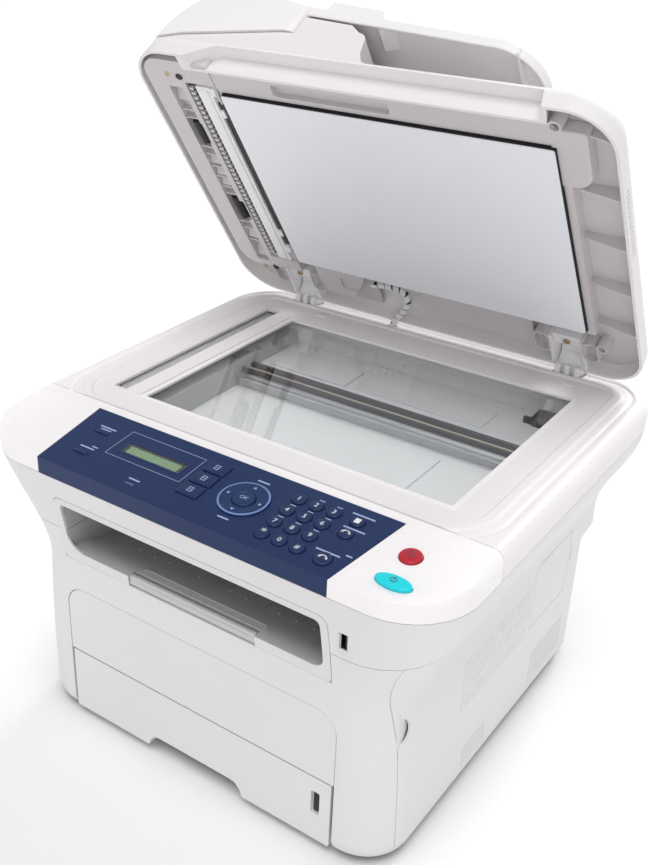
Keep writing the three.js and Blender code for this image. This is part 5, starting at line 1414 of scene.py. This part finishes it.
# ---------------------------------------------------------------- lid
@dataclass
class Lid(Assembly):
    """The flatbed's lid: domed shell with a grip notch, underside details, white pad and side pieces.

    It is drawn closed; its maker's drawing turns it up about the hinge line.
    """

    left: float = -224.0
    right: float = 211.5
    front: float = -124.0
    rear: float = 202.0
    bottom: float = 289.0
    top: float = 313.0
    corner: float = 38.0
    pad: tuple[float, float, float, float] = (-137.0, 165.0, -84.0, 137.0)

    def inset_at(self, z: float) -> float:
        """How far the wall has drawn in at a height: it turns over to the flat top by a quarter ellipse."""
        share = max(0.0, (z - (self.top - 14)) / 14)
        return 9.0 * (1 - math.sqrt(max(0.0, 1 - share**2))) + 0.5 * (z - self.bottom) / 24

    def ring(self, z: float, inset: float = 0.0, height: float | None = None, steps: int = 14) -> Points:
        """The lid's outline at a height of its profile, moved inwards by an inset."""
        d = self.inset_at(z) + inset
        r = max(self.corner - d, 6.0)
        outline = rounded(self.left + d, self.right - d, self.front + d, self.rear - d, r, steps)
        return lifted(outline, "Z", z if height is None else height)

    def notch(self, grow: float, low: float, high: float) -> Item:
        """The long grip notch in the front wall: a bar with splayed ends, narrower towards the top."""
        rows = []
        near, deep = self.front - 30, self.front + 14 + grow
        for z, x0, x1 in ((low, -169 - grow, 163 + grow), (high, -136 - grow, 157 + grow)):
            rows.append(np.array([(x0, near, z), (x1, near, z), (x1 - 4, deep, z), (x0 + 4, deep, z)]))
        return capped(rows)

    def shell(self) -> None:
        """Thin domed shell with rim, notch and its inner wall, and vents on the right side."""
        heights = [*np.linspace(self.bottom, self.top - 14, 5),
                   *(self.top - 14 + 14 * np.sin(np.linspace(0, math.pi / 2, 12)[1:]))]
        levels = [self.ring(z, steps=16) for z in heights]
        crown = [lifted(rounded(self.left + d, self.right - d, self.front + d, self.rear - d,
                                max(self.corner - d, 5.0), 16), "Z", self.top)
                 for d in (14.0, 30.0)]
        shell = capped(levels + crown)
        hollow = capped([self.ring(z, WALL, z - (0 if z < 300 else WALL))
                                  for z in [self.bottom - 1, *heights[1:]]])
        carve(shell, [hollow])
        wall = self.notch(WALL, self.bottom, 308.5)
        inside = capped([self.ring(z) for z in heights])
        carve(wall, [inside], "INTERSECT")
        carve(shell, [wall], "UNION")
        carve(shell, [self.notch(0.0, self.bottom - 4, 306.0)])
        carve(shell, [self.feeder_base()], "UNION")
        gap = [block(x - 13, x + 13, 176, FAR, 280, 318) for x in HINGE_X]
        gap += [block(self.right - 3, FAR, y, y + 2.0, 293, 299) for y in np.arange(-46, 26, 5.0)]
        carve(shell, gap)
        self.add(shell, "lid_shell_skin", LID_SKIN, ("lid_shell",), edge=0.6, soft_angle=34)

    def feeder_base(self) -> Item:
        """The raised base under the feeder's cover and the round-ended body under the tray's left end.

        It is drawn in X and Z and carried along Y; its top follows the cover's slanted seam.
        """
        bulge = [(-21 + 9 * math.sin(a), 347 - 10 * (1 - math.cos(a)))
                 for a in np.linspace(0, math.pi / 2, 7)]
        outline = [(-211.5, 308.5), (-211.5, 313.6), (-190, 321.0), (-87.6, 338.8), (-78.6, 338.8),
                   (-78.6, 357.6), (-32, 354.4), *bulge, (-9, 326), (-4, 318), (8, 313), (14, 308.5)]
        body = prism(outline, "Y", self.front + 10.2, 150.0)
        carve(body, [block(-168, -98, -74, 96, 318, 360)])
        return body

    def feed_path(self) -> None:
        """Rollers and guide ribs in the base's recess, which show when the feeder's cover is open."""
        rollers = [tube(np.array([[x, y, z] for y in np.linspace(y0, y1, 4)]), 6.0, 28)
                   for x, z, y0, y1 in ((-118, 324, -8, 30), (-142, 321, -34, -16), (-142, 321, 38, 56))]
        self.add(joined(*rollers), "feed_rollers", RUBBER, edge=0.4)
        bars = [tube(np.array([[x, y, z] for y in np.linspace(-73.6, 95.6, 6)]), 2.0, 16)
                for x, z in ((-118, 324), (-142, 321))]
        self.add(joined(*bars), "feed_shafts", STEEL, edge=0)
        low = 317.9
        fin = [(-167, low), (-99, low), (-99, 325), (-128, 318.6), (-167, 319.4)]
        ribs = [prism(fin, "Y", y, y + 1.6) for y in np.arange(-66, 92, 12.0)]
        self.add(joined(*ribs), "feed_ribs", CHARCOAL, edge=0.2)

    def underside(self) -> None:
        """Inner tray of the lid: floor over the pad, raised edge boxes, pockets and slots."""
        x0, x1, y0, y1 = self.pad
        plate = slab(self.left + 5, self.right - 5, self.front + 17, self.rear - 5, 24, 12, 303, 305.5)
        boxes = [
            block(x0 - 3.5, x1 + 6.5, y0 - 4.5, y1 + 4.5, 291.5, 303.5),
            slab(self.left + 8, x0 - 4, y0 - 30, y1 + 24, (20, 4, 4, 20), 8, 290.0, 303.5),
            slab(x0 - 6, 166, y0 - 22.5, y0 - 3, (3, 6, 2, 2), 5, 291.0, 303.5),
            prism([(-121, y1 + 3), (-64, y1 + 3), (-64, 146), (-84, 180), (-121, 180)], "Z", 290.5, 303.5),
            slab(-8, 108, y1 + 4, 188, 4, 5, 296.5, 303.5),
        ]
        carve(plate, boxes, "UNION")
        cuts = [block(x0 - 0.6, x1 + 0.6, y0 - 0.6, y1 + 0.6, 280, 292.5),
                slab(-80, 30, y0 - 18, y0 - 6, 3, 5, 280, 296),
                slab(-95, -30, y1 + 14, y1 + 32, 3, 5, 280, 293),
                block(-195, -180, y0, 152, 280, 297.2), slab(-193.5, -178.5, -42, -16, 2, 5, 280, 298),
                slab(-189.5, -175.5, 61, 88, 2, 5, 280, 298),
                block(-174, -142.5, -91, 143, 280, 293.2), block(-149, -137.2, -71, 119, 280, 293.2)]
        cuts += [slab(x - 19.5, x + 19.5, 157, FAR, 3, 5, 280, 310) for x in HINGE_X]
        cuts.append(slab(-63, -14, y1 + 7, FAR, 5, 5, 280, 310))
        carve(plate, cuts)
        self.add(plate, "lid_tray", LID_INSIDE, ("lid_underside",), edge=0.7)

    def side_pocket(self) -> None:
        """Right-hand pocket: gussets from the rim to the box's edge, a bulged wall, and a screw boss."""
        ribs = []
        for y, reach in ((-94.0, 186.0), (-38.0, 171.0), (18.0, 171.0), (74.0, 171.0), (129.0, 171.0)):
            outline = [(208.5, 290.5), (208.5, 303.4), (reach, 303.4), (reach, 296.5), (reach + 14, 294.0)]
            ribs.append(prism(outline, "Y", y - 0.9, y + 0.9))
        self.add(joined(*ribs), "pocket_gussets", LID_INSIDE, edge=0.3)
        bulge = slab(160, 188.5, -101, -44, (3, 4, 15, 3), 10, 290.8, 303.4)
        self.add(bulge, "pocket_bulge", LID_INSIDE, edge=1.6)
        for name, x, y in (("boss_front", 166.5, -106.0), ("boss_rear", 176.0, 158.0)):
            boss = disc(x, y, 5.4, 32, 288.8, 303.4)
            carve(boss, [disc(x, y, 3.6, 28, 280, 300)])
            self.add(boss, name, LID_INSIDE, edge=0.5)

    def strip_side(self) -> None:
        """Left side: pockets with two rollers, a toothed edge, white guide bar, screws and dots; the black in
        the roller holes and in the slot behind the teeth, and the near-black strip in the gap by the guide
        bar, are painted shade.
        """
        back = block(-194.8, -180.2, -83.8, 151.8, 296.9, 297.7)
        self.add(back, "feed_window", LID_INSIDE, edge=0)
        webs = [prism([(-195, 291.4), (-180, 291.4), (-180, 297), (-195, 297)], "Y", y, y + 1.4)
                for y in (-56.0, -46.0, -10.0, 0.0, 16.0, 30.0, 44.0, 54.0, 94.0, 104.0, 122.0)]
        slopes = [prism([(y, 296.9), (y + 12, 296.9), (y + 12, 292.6)], "X", -194.6, -180.4)
                  for y in (-78.0, 2.0, 17.4, 31.4, 108.0, 136.0)]
        self.add(joined(*webs, *slopes), "window_webs", LID_INSIDE, edge=0.3)
        # Painted shade: black patches in the two roller holes stand for the shade inside them.
        holes = [block(-193.4, -181.2, y0, y1, 295.6, 296.8) for y0, y1 in ((-44, -11), (57, 92))]
        self.add(joined(*holes), "roller_holes_painted_shade", BLACK, edge=0)
        for index, (y0, y1) in enumerate(((-41.0, -14.0), (60.0, 89.0))):
            roller = tube(np.array([[-187.0, y, 294.6] for y in np.linspace(y0, y1, 4)]), 4.2, 28)
            self.add(roller, f"feed_roller_{index + 1}", RUBBER, edge=0.3)
        # Painted shade: a black strip behind the teeth stands for the shade in the guide's slot.
        slot = block(-173.4, -163.2, -91, 139, 292.6, 293.6)
        self.add(slot, "guide_slot_painted_shade", BLACK, edge=0)
        teeth = [prism([(y, 289.9), (y + 3.2, 289.9), (y + 1.2, 292.9), (y, 292.9)], "X", -171.6, -167.4)
                 for y in np.arange(-86, 134, 5.6)]
        self.add(joined(*teeth), "guide_teeth", LID_INSIDE, edge=0.2)
        bar = joined(slab(-164.5, -148.5, -88, 142, 1.2, 4, 290.2, 294.8),
                     slab(-159.5, -152.0, -86, 140, 1.2, 4, 289.2, 291.0),
                     *[block(-149.0, -144.6, y, y + 9, 290.6, 294) for y in (-87.0, -62.0, 96.0, 120.0)])
        self.add(bar, "white_guide_bar", HINGE_WHITE, edge=0.7)
        # Painted shade: the gap beside the guide bar is filled with a near-black strip.
        gap = block(-148.4, -137.8, -70, 118, 292.4, 293.6)
        self.add(gap, "guide_gap", GAP_PAINTED_SHADE, edge=0)
        for name, x, y in (("strip_screw_front", -190.0, -98.0), ("strip_screw_rear", -190.0, 163.0)):
            self.add(cross_head(x, y, 3.0, (289.6, 291.4), 1.86, 0.35), name, BRASS, edge=0.3)
        dots = [prism(ellipse(x, y, 3.6, 3.2, 24), "Z", 289.2, 290.4) for x, y in ((-177, -97), (-175, 160))]
        self.add(joined(*dots), "strip_dots", BLACK, edge=0.2)
        hook = [(-104, -103), (-100, -103), (-100, -98), (-97, -98), (-97, -96.6), (-104, -96.6)]
        tab = prism(hook, "Z", 302, 304)
        self.add(tab, "front_tab", BLACK, edge=0)

    def document_pad(self) -> None:
        """White sheet on black foam; the foam shows as a thin dark edge."""
        x0, x1, y0, y1 = self.pad
        foam = block(x0 + 0.3, x1 - 0.3, y0 + 0.3, y1 - 0.3, 288.6, 292.3)
        self.add(foam, "pad_foam", FOAM, edge=0.4)
        sheet = slab(x0, x1 - 0.8, y0 + 0.8, y1, 2.0, 5, 287.7, 288.7)
        self.add(sheet, "pad_sheet", PAD_WHITE, ("document_pad",), edge=0.25)

    def build(self) -> None:
        """Builds the lid."""
        self.shell()
        self.feed_path()
        self.underside()
        self.side_pocket()
        self.strip_side()
        self.document_pad()


# ---------------------------------------------------------------- document feeder
@dataclass
class Feeder(Assembly):
    """The document feeder on the lid: rounded cover, its base, the sloping tray and two sheet guides."""

    left: float = -214.0
    right: float = -79.0
    front: float = -116.0
    rear: float = 152.0
    top: float = 384.0
    tray_right: float = 134.0
    tray_rear: float = 118.0
    tray_high: float = 368.0
    tray_low: float = 353.0

    def section(self, y: float, scale: float) -> Points:
        """The cover's section at a place along Y, scaled about the middle of its slanted lower edge.

        The left side and the crown are one quadratic curve; from there the top falls straight to the tray.
        """
        x0, x1 = self.left + 0.5, self.right - 0.4
        t = np.linspace(0, 1, 22)[:, None]
        start, pull, crown = np.array([(x0, 314.6), (x0 + 3, self.top - 14), (x0 + 52, self.top)])
        curve = (1 - t) ** 2 * start + 2 * t * (1 - t) * pull + t**2 * crown
        line = [(x0 + 70, self.top - 0.6), (x0 + 100, self.top - 5), (x1, self.tray_high + 3.6), (x1, 339.8),
                (self.right - 8.6, 339.8), (self.left + 24, 322.0)]
        flat = np.vstack([curve, line])
        middle = np.array([-146.0, 329.6])
        flat = middle + (flat - middle) * scale
        return lifted(flat, "Y", y)

    def cover(self) -> None:
        """ADF cover: the section carried along Y, with ends that turn over by a quarter circle."""
        turn = np.linspace(0, math.pi / 2, 8)
        soft, span = 7.0, 64.0
        ends = [(soft * (1 - math.cos(a)), 1 - soft / span * (1 - math.sin(a))) for a in turn]
        front = [self.section(self.front + depth, scale) for depth, scale in ends]
        rear = [self.section(self.rear - depth, scale) for depth, scale in ends[::-1]]
        hood = capped(front + rear)
        front_y, rear_y = self.front, self.rear
        stations = ((front_y + 4, 0.84), (front_y + 9, 0.94), (rear_y - 9, 0.94), (rear_y - 4, 0.84))
        room = [self.section(y, scale) - np.array([0, 0, 1.2]) for y, scale in stations]
        carve(hood, [capped(room)])
        grip = prism(ellipse(self.right - 2, 371, 5, 2.4, 24), "Y", -12, 34)
        carve(hood, [grip])
        self.add(hood, "feeder_cover", FEEDER_WHITE, ("adf_cover",), edge=0.8, body=Body.FEEDER)
        hoop = [(-196, 330), (-190, 345), (-150, 378), (-100, 372), (-84, 362), (-84, 358), (-100, 366),
                (-148, 370), (-182, 342), (-190, 329)]
        ribs = [prism(hoop, "Y", y, y + 1.6) for y in (-60.0, -20.0, 20.0, 60.0, 100.0)]
        self.add(joined(*ribs), "feeder_cover_ribs", CHARCOAL, edge=0.2, body=Body.FEEDER)

    def tray(self) -> None:
        """Document tray with a cross rib, a long rib and wedges under it."""
        self.maker.remake("document_tray", FEEDER_WHITE, 1.8, body=Body.TRAY)
        fall = (self.tray_high - self.tray_low) / (self.tray_right - self.right)
        under = self.tray_high - WALL + 0.2
        left, low, right = (under - fall * (x - self.right) for x in (-60.0, 92.0, 114.0))
        cross = block(112.8, 115.2, self.front + 3, self.tray_rear - 6, right - 6.2, right)
        wedge = prism([(-14, low + 6), (-8, low + 1), (4, low + 6)], "Y", self.front + 3, self.front + 26)
        strip = [(-60, left - 5), (110, right - 5), (110, right + 0.4), (-60, left)]
        long_rib = [prism(strip, "Y", y, y + 1.6) for y in (self.front + 62.0, self.front + 150.0)]
        ribs = joined(cross, wedge, *long_rib)
        self.add(ribs, "tray_ribs", FEEDER_WHITE, edge=0.3, body=Body.TRAY)

    def guides(self) -> None:
        """The two sheet guides."""
        self.maker.remake("sheet_guide_front", FEEDER_WHITE, 1.0, body=Body.GUIDE_FRONT)
        self.maker.remake("sheet_guide_rear", FEEDER_WHITE, 1.0, body=Body.GUIDE_REAR)

    def build(self) -> None:
        """Builds the feeder."""
        self.cover()
        self.tray()
        self.guides()


# ---------------------------------------------------------------- hinges and lead
@dataclass
class Hinges(Assembly):
    """The two lid hinges: a toothed white post on the deck, and the arms and screw plate on the lid."""

    lid: Maker

    def post(self, node: str, x: float) -> None:
        """The post with its pin, and the row of teeth at its foot."""
        self.maker.remake(node, HINGE_WHITE, 0.9)
        pin = tube(np.array([[x + k, *HINGE_AXIS] for k in (-17.6, -8, 0, 8, 17.6)]), 2.4, 20)
        self.add(pin, node + "_pin", STEEL, edge=0.3)
        teeth = [slab(x + k - 2.6, x + k + 2.6, 176.4, 181.6, 1.4, 4, 286.4, 296.5)
                 for k in (-9.2, 0.0, 9.2)]
        self.add(joined(*teeth), node + "_teeth", HINGE_WHITE, edge=0.8)

    def arms(self, label: str, x: float) -> None:
        """On the lid: two arms with eyes round the pin, a plate with a screw, and two screw pockets."""
        eye = [(HINGE_AXIS[0] + 6.2 * math.cos(a), HINGE_AXIS[1] + 6.2 * math.sin(a))
               for a in np.linspace(-0.55 * math.pi, 0.55 * math.pi, 15)]
        side = [(160, 291.0), (200.5, 290.4), (201.3, 300), *eye[3:], (160, 310)]
        arms = [prism(side, "X", *sorted((x + s * 13.2, x + s * 17.2))) for s in (-1, 1)]
        plate = prism([(159, 294.2), (171.5, 294.2), (175.0, 298.5), (175.0, 303.4), (159, 303.4)], "X",
                      x - 13.4, x + 13.4)
        self.lid.finish(joined(*arms, plate), f"hinge_arms_{label}", HINGE_WHITE, edge=0.9)
        for side_name, dx in (("a", -23.0), ("b", 23.0)):
            pocket = slab(x + dx - 7.5, x + dx + 7.5, 156, 184, 7.2, 10, 289.6, 303.0)
            carve(pocket, [slab(x + dx - 6.0, x + dx + 6.0, 157.8, 182, 5.8, 10, 280, 296.6)])
            self.lid.finish(pocket, f"screw_pocket_{label}_{side_name}", LID_INSIDE, edge=0.5)
        for index, dx in enumerate((-23.0, 0.0, 23.0)):
            z = 295.0 if dx else 292.6
            head = cross_head(x + dx, 165.8, 3.3, (z, z + 2.2), 2.1, 0.4)
            self.lid.finish(head, f"hinge_screw_{label}_{index + 1}", BRASS, edge=0.4)

    def build(self) -> None:
        """Builds the hinges."""
        for label, x in zip(("left", "right"), HINGE_X):
            self.post("hinge_" + label, x)
            self.arms(label, x)


@dataclass
class Lead(Assembly):
    """The feeder's flat lead in its white spiral wrap, which bends between the deck and the lid."""

    route: Points
    radius: float = 3.8
    core_radius: float = 3.0
    wrap_pitch: float = 7.4
    wrap_half: float = 3.3

    def build(self, start: Vector, end: Vector) -> None:
        """Makes the core and its spiral wrap along the route, with their place baked in."""
        path = smooth_path(self.route, 120)
        core = tube(path, self.core_radius, 16)
        ahead = np.gradient(path, axis=0)
        run = np.concatenate([[0.0], np.cumsum(np.linalg.norm(np.diff(path, axis=0), axis=1))])
        ahead /= np.linalg.norm(ahead, axis=1, keepdims=True)
        fine = np.linspace(0, run[-1], 700)
        centre = np.stack([np.interp(fine, run, path[:, k]) for k in range(3)], -1)
        forward = np.stack([np.interp(fine, run, ahead[:, k]) for k in range(3)], -1)
        across = np.cross(forward, [1.0, 0.0, 0.0])
        across /= np.linalg.norm(across, axis=1, keepdims=True)
        other = np.cross(forward, across)
        turn = (fine / self.wrap_pitch * 2 * math.pi)[:, None]
        round_line = centre + (self.radius - 0.4) * (across * np.cos(turn) + other * np.sin(turn))
        band = [round_line + side * self.wrap_half * forward for side in (-1.0, -0.5, 0.0, 0.5, 1.0)]
        inner = [centre + (line - centre) * 0.84 for line in band[::-1]]
        wrap = capped(np.stack([*band, *inner], 1))
        for name, item, finish, nodes in (("lead_core", core, BLACK, ("adf_harness",)),
                                          ("lead_wrap", wrap, WRAP_WHITE, ())):
            self.add(item, name, finish, nodes, edge=0, blend=("lid", start, end))
        way = plain(self.maker.drawing.place(path))


# ---------------------------------------------------------------- setting
@dataclass(frozen=True)
class SoftSun:
    """A distant lamp: the direction it shines from, its strength, and how wide it looks in degrees."""

    name: str
    source: tuple[float, float, float]
    strength: float
    width: float

    def light(self) -> None:
        """Adds the lamp to the scene."""
        data = bpy.data.lights.new(self.name, "SUN")
        data.energy = self.strength
        data.angle = math.radians(self.width)
        linked(self.name, data).rotation_euler = Vector(self.source).to_track_quat("Z", "Y").to_euler()


@dataclass
class Setting:
    """Plain pale floor, soft studio light and the camera."""

    drawing: Drawing
    camera_place: tuple[float, float, float] = (466.6, -740.7, 719.0)
    azimuth: float = math.radians(36.36)
    elevation: float = math.radians(27.55)
    roll: float = math.radians(0.63)
    lens: float = 46.59
    shift: tuple[float, float] = (0.08, -0.0094)
    surroundings: float = 0.52

    def floor(self) -> None:
        """A wide pale sheet under the machine, curved up far behind it."""
        x = np.linspace(-14.0, 14.0, 60)
        y = np.linspace(-4.0, 30.0, 90)
        grid_x, grid_y = np.meshgrid(x, y)
        rise = np.maximum(grid_y - 22.0, 0.0) ** 2 * 0.2
        points = np.stack([grid_x, grid_y, rise], -1).reshape(-1, 3)
        sheet = new_object("floor", points, grid_faces(len(y), len(x), False).tolist())
        sheet.data.shade_smooth()
        sheet.data.materials.append(PAPER.material())

    def world(self) -> None:
        """Even white surroundings."""
        world = bpy.data.worlds.new("studio")
        bpy.context.scene.world = world
        world.use_nodes = True
        back = world.node_tree.nodes["Background"]
        fill(back, {"Color": (1.0, 1.0, 1.0, 1.0), "Strength": self.surroundings})

    def camera(self) -> None:
        """The camera: its three axes from azimuth, elevation and roll, then its place and lens."""
        a, e, r = self.azimuth, self.elevation, self.roll
        back = np.array([math.sin(a) * math.cos(e), -math.cos(a) * math.cos(e), math.sin(e)])
        level = np.array([math.cos(a), math.sin(a), 0.0])
        above = np.cross(back, level)
        right = math.cos(r) * level + math.sin(r) * above
        up = -math.sin(r) * level + math.cos(r) * above
        data = bpy.data.cameras.new("camera")
        data.lens = self.lens
        data.sensor_width = 36.0
        data.sensor_fit = "AUTO"
        data.shift_x, data.shift_y = self.shift
        data.clip_start = 0.05
        data.clip_end = 60.0
        eye = linked("camera", data)
        place = self.drawing.place([self.camera_place])[0]
        eye.matrix_world = Matrix([*zip(right, up, back, place), (0, 0, 0, 1)])
        bpy.context.scene.camera = eye

    def build(self) -> None:
        """Builds the setting."""
        self.floor()
        self.world()
        self.camera()
        for lamp in (SoftSun("top_light", (0.12, -0.30, 0.94), 1.5, 40.0),
                     SoftSun("front_light", (0.45, -0.88, 0.15), 0.36, 40.0),
                     SoftSun("rear_light", (0.0, 0.90, 0.50), 1.9, 25.0)):
            lamp.light()
        bpy.context.scene.view_settings.view_transform = "Standard"


def plain(bounds) -> list:
    """The two corners of a box as plain lists."""
    return [[round(float(value), 6) for value in corner] for corner in bounds]


def main() -> None:
    """Loads the frame, builds every sub-assembly, and sets the scene."""
    logging.basicConfig(level=logging.INFO, format="%(message)s")
    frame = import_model()
    low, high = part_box("platen_glass")
    shift = (low.y + high.y) / 2 / MM - 21.5
    flat = Drawing(shift)
    turned = Drawing(shift, tilt=LID_OPEN)
    console = Drawing(shift, slope=SLOPE, base=(0.0, *SLOPE_TOP))
    base, lid = Maker(flat, Body.BASE, frame), Maker(turned, Body.LID, frame)
    skin = Skin()
    LowerBody(base, skin).build()
    OutputBin(base, skin).build()
    ScannerUnit(base, skin).build()
    Console(skin, base, Maker(console, Body.BASE, frame)).build()
    Lid(lid).build()
    Feeder(lid).build()
    Hinges(base, lid).build()
    ends = [Vector(point) for point in flat.place([LEAD_ROUTE[index] for index in LEAD_BEND])]
    Lead(base, np.array(LEAD_ROUTE)).build(*ends)
    Setting(flat).build()


if __name__ == "__main__":
    main()
